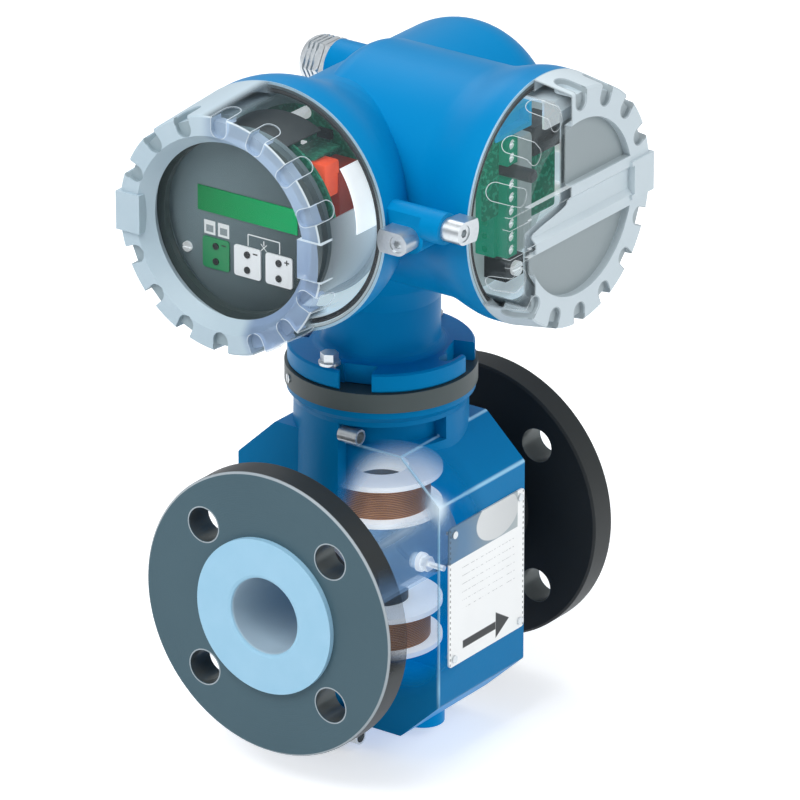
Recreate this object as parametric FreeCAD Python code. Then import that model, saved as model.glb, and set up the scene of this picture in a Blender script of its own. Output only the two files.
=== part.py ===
import FreeCAD, Part
import math
import os

# Electromagnetic flow meter, nominal bore 40 mm, flanged, with a two-compartment
# transmitter head on a round neck.  Millimetres.
# Origin: middle of the meter on the pipe axis.  +X: direction of flow.
# -X: the side that the display faces.  -Y: rating plate and terminal cover.  +Z: up.

V = FreeCAD.Vector
X, Y, Z = V(1, 0, 0), V(0, 1, 0), V(0, 0, 1)

# ---- pipe ----
BORE_R = 20.0
LINER_WALL = 2.5
TUBE_WALL = 1.6
FIT_GAP = 0.05              # radial clearance of a fixed or threaded fit
FACE_TO_FACE = 200.0        # over the two liner faces
LINER_FLARE_R = 41.0
LINER_FLARE_T = 3.0
LINER_LIP = 2.0             # rounding at the mouth of the bore
FLANGE_R = 75.0
FLANGE_T = 16.0
FLANGE_EDGE = 1.2
BOLT_CIRCLE_R = 55.0
BOLT_HOLE_R = 9.0
BOLTS = 4
HUB_R = 34.0                # foot of the weld neck
HUB_END_WALL = 4.0
HUB_LENGTH = 22.0

LINER_R = BORE_R + LINER_WALL
TUBE_IN_R = LINER_R + FIT_GAP
TUBE_R = TUBE_IN_R + TUBE_WALL
TUBE_SEAT_R = TUBE_R + FIT_GAP
FLANGE_FACE_X = FACE_TO_FACE / 2 - LINER_FLARE_T

# ---- electrodes, on the horizontal axis across the pipe ----
ELECTRODE_R = 1.5
ELECTRODE_HEAD_R = 4.0
ELECTRODE_HEAD_T = 1.2
ELECTRODE_REACH = 39.0      # outer end, from the pipe axis
BUSH_R = 3.0                # insulating bush through the tube wall
BUSH_COLLAR_R = 5.0
BUSH_COLLAR_T = 2.0
ELECTRODE_NUT_AF = 7.0
ELECTRODE_NUT_T = 4.0

# ---- field coils, above and below the tube ----
COIL_STANDOFF = 0.8         # bobbin above the tube
BOBBIN_R = 31.0
BOBBIN_HEIGHT = 22.6
BOBBIN_FLANGE_T = 2.6
BOBBIN_HOLE_R = 14.0
BOBBIN_WALL = 2.0
WINDING_R = 25.0
CORE_GAP = 0.3
CORE_RECESS = 9.0           # core ends below the bobbin's outer face

# ---- sensor housing ----
HOUSING_HALF_X = 37.0
HOUSING_HALF_Y = 62.0
HOUSING_FLAT_HALF_Y = 38.5
HOUSING_TOP = 74.0
HOUSING_BOTTOM = -79.0
SHOULDER_TOP = 52.0
SHOULDER_BOTTOM = -57.0
HOUSING_WALL = 4.0
HOUSING_EDGE = 2.0
NECK_R = 44.0
NECK_BORE_R = 31.0
NECK_COLLAR_Z = 86.0        # underside of the full collar
NECK_TOP = 95.5
NECK_LIP_R = 47.5
NECK_BULGE_END = 22.0       # where the neck runs out on the front and back faces
NECK_BULGE_R = 45.0
POCKET_R = 36.0             # inner radius of the earth-terminal pocket
POCKET_Y = -5.2
POCKET_TURN = 82.0          # degrees of the collar that the pocket spans
DRAIN_BOSS_R = 11.0
DRAIN_BOSS_Y = -26.0
DRAIN_BOSS_DROP = 8.0

# ---- earth terminals ----
EARTH_R = 4.2
EARTH_BORE_R = 3.1
EARTH_BORE_DEPTH = 8.0
EARTH_LENGTH = 11.3
EARTH_STUD_R = 2.2
EARTH_STUD_LENGTH = 6.0
EARTH_X = -40.6
EARTH_UPPER_Z = 80.0
EARTH_LUG_DROP = 10.0
EARTH_LUG_DEPTH = 14.0
EARTH_LUG_REACH = 24.0      # along the pipe
EARTH_LUG_RISE = 7.0        # hold on the front face

# ---- rating plate ----
PLATE_WIDTH = 65.0
PLATE_HEIGHT = 76.0
PLATE_T = 1.0
PLATE_CENTRE_X = 3.0
PLATE_CORNER = 2.0
RIVET_R = 1.2
RIVET_HEAD_R = 2.0
RIVET_HEAD_T = 1.0
RIVET_INSET = 4.0

# ---- neck ring and bayonet base of the head ----
RING_R = 48.5
RING_HEIGHT = 10.0
HEAD_GAP = 0.1              # running gap between the ring and the head
BASE_R = 47.0
BASE_HEIGHT = 10.0
COLUMN_R = 30.0
COLUMN_BORE_R = 22.0
COLUMN_FOOT = 4.5           # fillet radius
COLUMN_TOP = 140.0          # level at which the casting is divided into its two nodes
NOTCH_WIDTH = 17.0
NOTCH_FLOOR_R = 35.2
NOTCH_ANGLE = 199.6         # first of four, from +X
NOTCHES = 4
BAYONET_TURN = 22.4         # degrees from clamped to released
CLAMP_R = 41.0              # pitch radius of the clamp screws
CLAMP_SCREWS = 2
CLAMP_SHANK_R = 2.9
CLAMP_SLOT_PLAY = 0.6
CLAMP_FLANGE_R = 5.6
CLAMP_FLANGE_T = 1.4
CLAMP_AF = 8.0
CLAMP_HEAD_T = 4.6
SET_SCREW_ANGLE = 144.0
SET_SCREW_R = 2.4
SET_SCREW_LENGTH = 9.0
SET_SCREW_PROUD = 0.6
NECK_SEAL_R = 35.0
NECK_SEAL_SECTION = 1.3
SEAL_GAP = 0.2              # rubber to the face that it seals

# ---- transmitter head ----
HEAD_Z = 214.0              # axes of both barrels
RIM_R = 64.0
RIM_STRAIGHT = 7.0
DISPLAY_RIM = 85.0          # rim from the neck axis
DISPLAY_BODY_R = 50.0
DISPLAY_FLARE = 46.0
DISPLAY_REAR = 98.0
DISPLAY_ROUND = 30.0        # rounding of the closed end
TERMINAL_RIM = 97.0
TERMINAL_BODY_R = 58.5
TERMINAL_FLARE = 28.0
TERMINAL_REAR = 15.0
TERMINAL_ROUND = 14.0
DISPLAY_BORE_R = 46.0
TERMINAL_BORE_R = 54.0
END_WALL = 5.0
THREAD_R = 58.0             # cover spigot
THREAD_LENGTH = 12.0
THREAD_PITCH = 2.0
THREAD_BORE_LENGTH = 16.0
COVER_SPIGOT_R = 55.0       # inside of the spigot
SEAL_SEAT_R = 61.0
SEAL_SEAT_DEPTH = 4.0
SEAL_SECTION = 1.3
PARTITION_X = 46.0          # face on the terminal side, from the neck axis
PARTITION_T = 4.0
LEDGE_DEPTH = 35.0          # rim down to the ledge that carries the terminal plate
LEDGE_WIDTH = 4.0
FEED_BORE_R = 7.0
FEED_Y = -20.0
FEED_DROP = 30.0

# ---- cable entries on the back of the display barrel ----
ENTRY_X = 36.0
ENTRY_OFFSET_Z = 25.0
ENTRY_BOSS_R = 13.5
ENTRY_FACE_Y = 52.0
ENTRY_BORE_R = 10.0
ENTRY_DEPTH = 9.0
GLAND_AF = 24.0
GLAND_COLLAR_T = 3.0
GLAND_THREAD_R = 9.2
GLAND_THREAD_LENGTH = 6.0
GLAND_BORE_R = 6.5
GLAND_SEAL_R = 5.5
GLAND_SEAL_T = 3.0
GLAND_NUT_LENGTH = 13.0
GLAND_NUT_GAP = 0.4
GLAND_NUT_LIP = 3.0
GLAND_GROOVES = 3
GLAND_GROOVE_W = 1.2
PLUG_HEAD_T = 6.0

# ---- covers ----
COVER_FACE_R = 60.3
COVER_RIM_GAP = 0.3         # cover shoulder to rim
DISPLAY_COVER_LENGTH = 48.0
TERMINAL_COVER_LENGTH = 22.5
COVER_WALL_R = 55.0
RING_FACE_IN_R = 50.5
GLASS_VIEW_R = 45.0
GLASS_R = 48.5
GLASS_T = 6.0
GLASS_LIP_DEPTH = 8.0       # front face down to the glass
GLASS_RING_T = 4.0
GLASS_RING_IN_R = 44.0
GRIP_NOTCH_W = 9.0
GRIP_NOTCH_RADIAL = 10.0
GRIP_NOTCH_AXIAL = 15.0
GRIP_NOTCH_DEPTH = 2.6
GRIP_PITCHES = 16
LUG_WIDTH = 20.0
LUG_PROUD = 1.5
LUG_IN_R = 46.5
TERMINAL_FACE_T = 6.5
FACE_RECESS_R = 45.0
FACE_RECESS_DEPTH = 4.0
BAR_WIDTH = 26.0
BAR_TROUGH_W = 15.0
BAR_TROUGH_DEPTH = 2.5

# ---- cover locks ----
LOCK_RADIUS = 76.0          # claw axis from the barrel axis
LOCK_TERMINAL_RISE = 7.0    # claw axis above the barrel axis
CLAW_R = 5.8
CLAW_LENGTH = 10.5
CLAW_AHEAD = 7.5            # claw in front of the rim plane
CLAW_GAP = 0.35
LOCK_SCREW_R = 2.45
LOCK_SCREW_HEAD_R = 4.1
LOCK_SCREW_HEAD_T = 3.4
LOCK_SCREW_SEAT = 4.0
LOCK_SCREW_GRIP = 5.0
LOCK_SOCKET_AF = 4.0
LOCK_SOCKET_DEPTH = 2.4
LOCK_BOSS_R = 8.0
LOCK_BOSS_LENGTH = 32.0

# ---- electronics behind the display window ----
PANEL_U = 25.0              # panel front ahead of the rim plane
PANEL_R = 48.0
PANEL_T = 3.0
PILLAR_R = 3.0
PILLAR_PITCH_R = 42.0
PILLAR_ANGLES = (90.0, 210.0, 330.0)
PANEL_SCREW_R = 2.6
PANEL_SCREW_T = 1.6
SLOT_W = 0.9
LCD_WIDTH = 60.0
LCD_HEIGHT = 13.0
LCD_RISE = 6.5
LCD_PROUD = 0.6
LCD_FRAME = 1.6
KEY_SIZE = 16.0
KEY_PITCH = 19.0
KEY_DROP = 21.0
KEY_PROUD = 0.8
KEY_CORNER = 1.5
KEY_EYE_R = 1.8
KEY_EYE_PITCH = 8.0
BOARD_T = 1.6
DISPLAY_BOARD_BACK = 9.0    # behind the panel front
MAIN_BOARD_X = 62.0         # from the neck axis
MAIN_BOARD_R = 45.0
TRANSFORMER = (20.0, 17.0, 24.0)
TRANSFORMER_AT = (26.0, 12.0)
RELAY = (14.0, 14.0, 30.0)
RELAY_AT = (12.0, -24.0)
CAPACITOR_R = 6.0
CAPACITOR_LENGTH = 26.0
CAPACITOR_AT = ((-12.0, 28.0), (-26.0, 18.0))

# ---- terminal compartment ----
CARRIER_T = 3.0
CARRIER_GAP = 0.3
CARRIER_WINDOW_R = 44.0
CARRIER_WINDOW_SIDE = -18.0     # the plate is open on this side of it, for the cables
TERMINAL_X = -4.0
TERMINAL_BOTTOM = -30.0         # lowest screw, from the barrel axis
TERMINAL_PITCH = 6.9
LOWER_TERMINALS = 6
UPPER_TERMINALS = 2
POST_PITCHES = 6.0              # the post stands in the gap between the two strips
TERMINAL_WIDTH = 14.0
TERMINAL_DEPTH = 17.0
TERMINAL_STEP = 6.0
TERMINAL_SCREW_R = 2.6
TERMINAL_SCREW_T = 1.4
WIRE_HOLE_R = 1.7
POST_R = 3.5
POST_HOLE_R = 3.7
POST_LENGTH = 30.0
CONNECTOR = (30.0, 14.0, 15.0)
CONNECTOR_AT = (0.0, 36.0)
RELAY_BOX = (22.0, 15.0, 16.0)
RELAY_BOX_AT = (27.0, 20.0)
SIDE_BOARD = (18.0, 34.0, 1.6)
SIDE_BOARD_AT = (20.0, -6.0)
CLAMP_POST_R = 3.6
CLAMP_POST_AT = ((43.0, 9.0), (43.0, -14.0))
CLAMP_POST_LENGTH = 15.0
CLAMP_NUT_AF = 9.0
CLAMP_NUT_T = 6.0
CLAMP_STUD_R = 2.0
CLAMP_STUD_END = 3.0
GROUND_BLOCK = (15.0, 11.0, 13.0)
GROUND_AT = (4.0, -43.0)
GROUND_SCREW_R = 3.8
GROUND_SCREW_T = 2.4
GROUND_SCREW_DEPTH = 7.0


# ---------------------------------------------------------------- helpers

def polar(radius, degrees):
    a = math.radians(degrees)
    return V(radius * math.cos(a), radius * math.sin(a), 0)


def rod(radius, start, axis, length):
    return Part.makeCylinder(radius, length, start, axis)


def tube(outer, inner, start, axis, length):
    return rod(outer, start, axis, length).cut(rod(inner, start, axis, length))


def box(low, high):
    size = high - low
    return Part.makeBox(size.x, size.y, size.z, low)


def turned(profile):
    """Solid turned about Z from a closed outline of (radius, height) points."""
    points = [V(r, 0, h) for r, h in profile]
    face = Part.Face(Part.makePolygon(points + points[:1]))
    return face.revolve(V(0, 0, 0), Z, 360)


def hexagon(across_flats, start, axis, length):
    corner = across_flats / math.sqrt(3)
    points = [polar(corner, 60 * k) for k in range(7)]
    prism = Part.Face(Part.makePolygon(points)).extrude(V(0, 0, length))
    return placed(prism, start, axis)


def placed(shape, origin, axis):
    """Moves a shape made along +Z so that +Z becomes the axis and +Y stays level or up."""
    up = Z if abs(axis.z) < 0.5 else Y
    side = up.cross(axis)
    moved = shape.copy()
    moved.Placement = FreeCAD.Placement(origin, FreeCAD.Rotation(side, up, axis, "ZYX"))
    return moved


def fused(shapes):
    shapes = list(shapes)
    result = shapes[0]
    if len(shapes) > 1:
        result = result.fuse(shapes[1:])
    return result.removeSplitter()


def without(shape, cutters):
    return shape.cut(list(cutters)).removeSplitter()


def group(shapes):
    return Part.makeCompound(list(shapes))


def rounded_plate(width, height, thickness, corner):
    """Plate in the XY plane about the origin, thickness along +Z, with round corners."""
    plate = Part.makeBox(width, height, thickness, V(-width / 2, -height / 2, 0))
    uprights = [e for e in plate.Edges if abs(e.tangentAt(e.FirstParameter).z) > 0.9]
    return plate.makeFillet(corner, uprights)


def slotted_screw(head_r, head_t, shank_r, shank_length):
    """Screw along +Z, head up: the shank ends at -shank_length, the head starts at 0."""
    head = rod(head_r, V(0, 0, 0), Z, head_t)
    shank = rod(shank_r, V(0, 0, -shank_length), Z, shank_length)
    slot = box(V(-head_r, -SLOT_W / 2, head_t / 2), V(head_r, SLOT_W / 2, head_t))
    return without(head.fuse(shank), [slot])


# ---------------------------------------------------------------- measuring tube

def electrode_holes(radius):
    return rod(radius, V(0, -FLANGE_R, 0), Y, 2 * FLANGE_R)


def measuring_tube():
    wall = tube(TUBE_R, TUBE_IN_R, V(-FLANGE_FACE_X, 0, 0), X, 2 * FLANGE_FACE_X)
    return wall.cut(electrode_holes(BUSH_R + FIT_GAP))


def liner():
    """One moulded liner: its ends are flared over the faces of the flanges."""
    half = FACE_TO_FACE / 2
    lip = half - LINER_LIP
    cut = LINER_LIP * (1 - math.sqrt(0.5))
    inside = [(BORE_R + LINER_LIP, -half), (BORE_R + cut, -half + cut), (BORE_R, -lip),
              (BORE_R, lip), (BORE_R + cut, half - cut), (BORE_R + LINER_LIP, half)]
    outside = [(LINER_FLARE_R, half), (LINER_FLARE_R, FLANGE_FACE_X), (LINER_R, FLANGE_FACE_X),
               (LINER_R, -FLANGE_FACE_X), (LINER_FLARE_R, -FLANGE_FACE_X), (LINER_FLARE_R, -half)]
    body = placed(turned(inside + outside), V(0, 0, 0), X)
    pocket = rod(ELECTRODE_HEAD_R + FIT_GAP, V(0, -HEAD_SEAT - FIT_GAP, 0), Y, 2 * (HEAD_SEAT + FIT_GAP))
    return body.cut([electrode_holes(ELECTRODE_R + FIT_GAP), pocket])


def flange(outward):
    """Weld-neck flange: the disc with its bolt holes and the cone down to the tube."""
    back = FLANGE_FACE_X - FLANGE_T
    end_r = TUBE_R + HUB_END_WALL
    profile = [(TUBE_SEAT_R, FLANGE_FACE_X), (FLANGE_R - FLANGE_EDGE, FLANGE_FACE_X),
               (FLANGE_R, FLANGE_FACE_X - FLANGE_EDGE), (FLANGE_R, back + FLANGE_EDGE),
               (FLANGE_R - FLANGE_EDGE, back), (HUB_R, back), (end_r, back - HUB_LENGTH),
               (TUBE_SEAT_R, back - HUB_LENGTH)]
    disc = placed(turned(profile), V(0, 0, 0), outward)
    start = outward * (back - 1)
    holes = []
    for k in range(BOLTS):
        at = polar(BOLT_CIRCLE_R, 360 / BOLTS * (k + 0.5))
        holes.append(rod(BOLT_HOLE_R, start + V(0, at.x, at.y), outward, FLANGE_T + 2))
    return without(disc, holes)


# ---------------------------------------------------------------- electrodes

HEAD_SEAT = BORE_R + FIT_GAP + ELECTRODE_HEAD_T
BUSH_TOP = TUBE_R + FIT_GAP + BUSH_COLLAR_T


def both_sides(make):
    return group([make(Y), make(Y * -1)])


def electrode(side):
    head = rod(ELECTRODE_HEAD_R, side * (HEAD_SEAT - ELECTRODE_HEAD_T), side, ELECTRODE_HEAD_T)
    stem = rod(ELECTRODE_R, side * HEAD_SEAT, side, ELECTRODE_REACH - HEAD_SEAT)
    return fused([head, stem])


def electrode_bush(side):
    body = rod(BUSH_R, side * (LINER_R - 1), side, BUSH_TOP - LINER_R + 1)
    collar = rod(BUSH_COLLAR_R, side * (TUBE_R - 2), side, BUSH_TOP - TUBE_R + 2)
    collar = collar.cut(rod(TUBE_R + FIT_GAP, V(-FLANGE_R, 0, 0), X, 2 * FLANGE_R))
    hole = rod(ELECTRODE_R + FIT_GAP, V(0, 0, 0), side, ELECTRODE_REACH)
    pipe = rod(LINER_R + FIT_GAP, V(-FLANGE_R, 0, 0), X, 2 * FLANGE_R)
    return without(body.fuse(collar), [hole, pipe])


def electrode_nut(side):
    nut = hexagon(ELECTRODE_NUT_AF, side * (BUSH_TOP + FIT_GAP), side, ELECTRODE_NUT_T)
    return nut.cut(rod(ELECTRODE_R + FIT_GAP, V(0, 0, 0), side, ELECTRODE_REACH))


# ---------------------------------------------------------------- coils

COIL_START = TUBE_R + COIL_STANDOFF


def coil_bobbin(side):
    inner, hub = BOBBIN_HOLE_R, BOBBIN_HOLE_R + BOBBIN_WALL
    low, high = BOBBIN_FLANGE_T, BOBBIN_HEIGHT - BOBBIN_FLANGE_T
    profile = [(inner, 0), (BOBBIN_R, 0), (BOBBIN_R, low), (hub, low), (hub, high),
               (BOBBIN_R, high), (BOBBIN_R, BOBBIN_HEIGHT), (inner, BOBBIN_HEIGHT)]
    return placed(turned(profile), side * COIL_START, side)


def coil_winding(side):
    start = COIL_START + BOBBIN_FLANGE_T + FIT_GAP
    height = BOBBIN_HEIGHT - 2 * BOBBIN_FLANGE_T - 2 * FIT_GAP
    inner = BOBBIN_HOLE_R + BOBBIN_WALL + FIT_GAP
    return tube(WINDING_R, inner, side * start, side, height)


def pole_core(side):
    """Round steel core inside the bobbin, saddled on the tube and welded to it."""
    length = COIL_START + BOBBIN_HEIGHT - CORE_RECESS
    core = rod(BOBBIN_HOLE_R - CORE_GAP, V(0, 0, 0), side, length)
    return core.cut(rod(TUBE_SEAT_R, V(-FLANGE_R, 0, 0), X, 2 * FLANGE_R))


# ---------------------------------------------------------------- sensor housing

def housing_outline(inset):
    """Section across the pipe: a box with four cut shoulders, drawn in by the inset."""
    points = [V(0, HOUSING_HALF_Y, SHOULDER_BOTTOM), V(0, HOUSING_HALF_Y, SHOULDER_TOP),
              V(0, HOUSING_FLAT_HALF_Y, HOUSING_TOP), V(0, -HOUSING_FLAT_HALF_Y, HOUSING_TOP),
              V(0, -HOUSING_HALF_Y, SHOULDER_TOP), V(0, -HOUSING_HALF_Y, SHOULDER_BOTTOM),
              V(0, -HOUSING_FLAT_HALF_Y, HOUSING_BOTTOM), V(0, HOUSING_FLAT_HALF_Y, HOUSING_BOTTOM)]
    face = Part.Face(Part.makePolygon(points + points[:1]))
    if inset:
        face = face.makeOffset2D(-inset)
    return face


def earth_lug():
    bottom = HOUSING_BOTTOM - EARTH_LUG_DROP
    low = V(EARTH_X - EARTH_R, POCKET_Y, bottom)
    high = V(EARTH_X + EARTH_LUG_REACH, POCKET_Y + EARTH_LUG_DEPTH, HOUSING_BOTTOM + EARTH_LUG_RISE)
    return box(low, high)


def neck_solid():
    """Neck, wider than the housing is long, so that it runs down the front and back faces."""
    slope = NECK_BULGE_R - HOUSING_HALF_X
    profile = [(0, NECK_BULGE_END - slope), (HOUSING_HALF_X, NECK_BULGE_END - slope),
               (NECK_BULGE_R, NECK_BULGE_END), (NECK_R, NECK_COLLAR_Z),
               (NECK_R + 1, NECK_COLLAR_Z + 3), (NECK_LIP_R, NECK_COLLAR_Z + 6),
               (NECK_LIP_R, NECK_TOP), (0, NECK_TOP)]
    return turned(profile)


def earth_pocket():
    """Quarter of the neck cut back under the collar, where the earth terminal stands."""
    ring = tube(NECK_LIP_R + 1, POCKET_R, V(0, 0, HOUSING_TOP), Z, NECK_COLLAR_Z - HOUSING_TOP)
    front = box(V(-NECK_LIP_R, -NECK_LIP_R, SHOULDER_BOTTOM), V(-HOUSING_HALF_X, POCKET_Y, HOUSING_TOP))
    reach = 2 * NECK_LIP_R
    wedge = Part.Face(Part.makePolygon([V(0, 0, 0), V(-reach, 0, 0), V(-reach, -reach, 0),
                                        polar(reach, 180 + POCKET_TURN), V(0, 0, 0)]))
    wedge = wedge.extrude(V(0, 0, NECK_COLLAR_Z))
    wedge.translate(V(0, POCKET_Y, 0))
    return ring.common(wedge).fuse(front)


def sensor_housing():
    shell = housing_outline(0).extrude(V(2 * HOUSING_HALF_X, 0, 0))
    shell.translate(V(-HOUSING_HALF_X, 0, 0))
    long_edges = [e for e in shell.Edges if abs(e.tangentAt(e.FirstParameter).x) > 0.9]
    shell = shell.makeFillet(HOUSING_EDGE, long_edges)
    shell = fused([shell, neck_solid(), earth_lug()])
    shell = shell.fuse(rod(DRAIN_BOSS_R, V(0, DRAIN_BOSS_Y, HOUSING_BOTTOM - DRAIN_BOSS_DROP), Z,
                           DRAIN_BOSS_DROP + HOUSING_WALL))
    cavity = housing_outline(HOUSING_WALL)
    inside = HOUSING_HALF_X - HOUSING_WALL
    cavity = cavity.extrude(V(2 * inside, 0, 0))
    cavity.translate(V(-inside, 0, 0))
    cutters = [cavity, rod(NECK_BORE_R, V(0, 0, 0), Z, NECK_TOP + 1), earth_pocket(),
               rod(TUBE_SEAT_R, V(-NECK_LIP_R, 0, 0), X, 2 * NECK_LIP_R)]
    for height in earth_heights():
        cutters.append(rod(EARTH_STUD_R + FIT_GAP, V(EARTH_X, POCKET_Y, height), Y, EARTH_STUD_LENGTH))
    for x, z in rivet_places():
        cutters.append(rod(RIVET_R + FIT_GAP, V(x, -HOUSING_HALF_Y, z), Y, HOUSING_WALL))
    return without(shell, cutters)


def earth_heights():
    return EARTH_UPPER_Z, HOUSING_BOTTOM - EARTH_LUG_DROP / 2


def earth_terminal(height):
    face = V(EARTH_X, POCKET_Y, height)
    barrel = rod(EARTH_R, face, Y * -1, EARTH_LENGTH)
    stud = rod(EARTH_STUD_R, face, Y, EARTH_STUD_LENGTH)
    mouth = rod(EARTH_BORE_R, face - Y * EARTH_LENGTH, Y, EARTH_BORE_DEPTH)
    return without(barrel.fuse(stud), [mouth])


def earth_terminals():
    return group([earth_terminal(height) for height in earth_heights()])


# ---------------------------------------------------------------- rating plate

def rivet_places():
    dx, dz = PLATE_WIDTH / 2 - RIVET_INSET, PLATE_HEIGHT / 2 - RIVET_INSET
    return [(PLATE_CENTRE_X + a * dx, b * dz) for a in (-1, 1) for b in (-1, 1)]


def rating_plate():
    plate = rounded_plate(PLATE_WIDTH, PLATE_HEIGHT, PLATE_T, PLATE_CORNER)
    plate = placed(plate, V(PLATE_CENTRE_X, -HOUSING_HALF_Y, 0), Y * -1)
    holes = [rod(RIVET_R + FIT_GAP, V(x, -HOUSING_HALF_Y - PLATE_T, z), Y, PLATE_T)
             for x, z in rivet_places()]
    return without(plate, holes)


def rating_plate_rivets():
    rivets = []
    for x, z in rivet_places():
        front = V(x, -HOUSING_HALF_Y - PLATE_T, z)
        head = rod(RIVET_HEAD_R, front, Y * -1, RIVET_HEAD_T)
        shank = rod(RIVET_R, front, Y, PLATE_T + HOUSING_WALL - 1)
        rivets.append(fused([head, shank]))
    return group(rivets)


# ---------------------------------------------------------------- neck ring and clamp

RING_TOP = NECK_TOP + RING_HEIGHT
BASE_Z = RING_TOP + HEAD_GAP
BASE_TOP = BASE_Z + BASE_HEIGHT
LEDGE_Y = TERMINAL_RIM - LEDGE_DEPTH
DISPLAY_LOCK_SEAT = DISPLAY_RIM + CLAW_AHEAD - CLAW_LENGTH
TERMINAL_LOCK_SEAT = TERMINAL_RIM + CLAW_AHEAD - CLAW_LENGTH


def clamp_angles():
    first = NOTCH_ANGLE - BAYONET_TURN
    return [first + 360 / CLAMP_SCREWS * k for k in range(CLAMP_SCREWS)]


def neck_ring():
    ring = tube(RING_R, NECK_BORE_R, V(0, 0, NECK_TOP), Z, RING_HEIGHT)
    groove_low = RING_TOP - 2 * NECK_SEAL_SECTION - SEAL_GAP
    groove = tube(NECK_SEAL_R + NECK_SEAL_SECTION + FIT_GAP, NECK_SEAL_R - NECK_SEAL_SECTION - FIT_GAP,
                  V(0, 0, groove_low), Z, RING_TOP - groove_low)
    cutters = [groove, set_screw_hole()]
    for angle in clamp_angles():
        cutters.append(rod(CLAMP_SHANK_R + FIT_GAP, polar(CLAMP_R, angle) + Z * (NECK_TOP + 1), Z, RING_HEIGHT))
    return without(ring, cutters)


def neck_seal():
    return Part.makeTorus(NECK_SEAL_R, NECK_SEAL_SECTION, V(0, 0, RING_TOP - SEAL_GAP - NECK_SEAL_SECTION))


def set_screw_hole():
    outward = polar(1, SET_SCREW_ANGLE)
    start = outward * (RING_R - SET_SCREW_LENGTH + SET_SCREW_PROUD) + Z * (NECK_TOP + RING_HEIGHT / 2)
    return rod(SET_SCREW_R + FIT_GAP, start, outward, SET_SCREW_LENGTH + 1)


def ring_set_screw():
    outward = polar(1, SET_SCREW_ANGLE)
    start = outward * (RING_R - SET_SCREW_LENGTH + SET_SCREW_PROUD) + Z * (NECK_TOP + RING_HEIGHT / 2)
    body = rod(SET_SCREW_R, start, outward, SET_SCREW_LENGTH)
    slot = box(V(-SLOT_W / 2, -SET_SCREW_R, SET_SCREW_LENGTH - 1.2), V(SLOT_W / 2, SET_SCREW_R, SET_SCREW_LENGTH))
    return body.cut(placed(slot, start, outward))


def head_clamp_screws():
    screws = []
    for angle in clamp_angles():
        foot = polar(CLAMP_R, angle) + Z * (NECK_TOP + 1)
        seat = polar(CLAMP_R, angle) + Z * (BASE_TOP + HEAD_GAP)
        shank = rod(CLAMP_SHANK_R, foot, Z, seat.z - foot.z)
        washer = rod(CLAMP_FLANGE_R, seat, Z, CLAMP_FLANGE_T)
        head = hexagon(CLAMP_AF, seat + Z * CLAMP_FLANGE_T, Z, CLAMP_HEAD_T)
        screws.append(fused([shank, washer, head]))
    return group(screws)


# ---------------------------------------------------------------- transmitter housing

def throat(rim, body_r, flare):
    """Points down a barrel at +Z from its straight rim to its body, on half a cosine wave."""
    steps = 8
    span = RIM_R - body_r
    return [V(body_r + span * (1 + math.cos(math.pi * t / steps)) / 2, 0, rim - RIM_STRAIGHT - flare * t / steps)
            for t in range(steps + 1)]


def barrel_outside(rim, body_r, flare, rear, corner):
    """Barrel along +Z with its rim at +Z: straight rim, curved flare, round closed end."""
    curve = Part.BSplineCurve()
    curve.interpolate(Points=throat(rim, body_r, flare), InitialTangent=Z * -1, FinalTangent=Z * -1)
    middle = V(body_r - corner * (1 - math.cos(math.pi / 4)), 0, -rear + corner * (1 - math.sin(math.pi / 4)))
    shoulder = V(body_r, 0, corner - rear)
    floor = V(body_r - corner, 0, -rear)
    edges = [Part.makeLine(V(0, 0, rim), V(RIM_R, 0, rim)),
             Part.makeLine(V(RIM_R, 0, rim), V(RIM_R, 0, rim - RIM_STRAIGHT)),
             curve.toShape(),
             Part.makeLine(V(body_r, 0, rim - RIM_STRAIGHT - flare), shoulder),
             Part.Arc(shoulder, middle, floor).toShape(),
             Part.makeLine(floor, V(0, 0, -rear)),
             Part.makeLine(V(0, 0, -rear), V(0, 0, rim))]
    return Part.Face(Part.Wire(edges)).revolve(V(0, 0, 0), Z, 360)


def flared_bore(rim, body_r, flare, wall, depth):
    """Bore that follows the flare inside a barrel, down to a flat floor."""
    points = [(min(p.x - wall, THREAD_R), p.z) for p in throat(rim, body_r, flare)]
    bore = turned([(0, rim), (points[0][0], rim)] + points + [(0, points[-1][1])])
    return bore.common(rod(RIM_R, V(0, 0, rim - depth), Z, depth))


def rim_bore(rim):
    """Seal seat and threaded mouth cut into a rim at +Z."""
    mouth = rod(SEAL_SEAT_R, V(0, 0, rim - SEAL_SEAT_DEPTH), Z, SEAL_SEAT_DEPTH + 1)
    return mouth.fuse(rod(THREAD_R + FIT_GAP, V(0, 0, rim - THREAD_BORE_LENGTH), Z, THREAD_BORE_LENGTH))


def closed_bore(radius, start, rear, corner):
    """Plain bore from a flat start at +Z to a rounded inner end at -Z."""
    bore = rod(radius, V(0, 0, -rear), Z, rear + start)
    rim_edges = [e for e in bore.Edges if abs(e.BoundBox.ZMax + rear) < 0.01 and e.BoundBox.ZLength < 0.01]
    return bore.makeFillet(corner, rim_edges)


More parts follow.
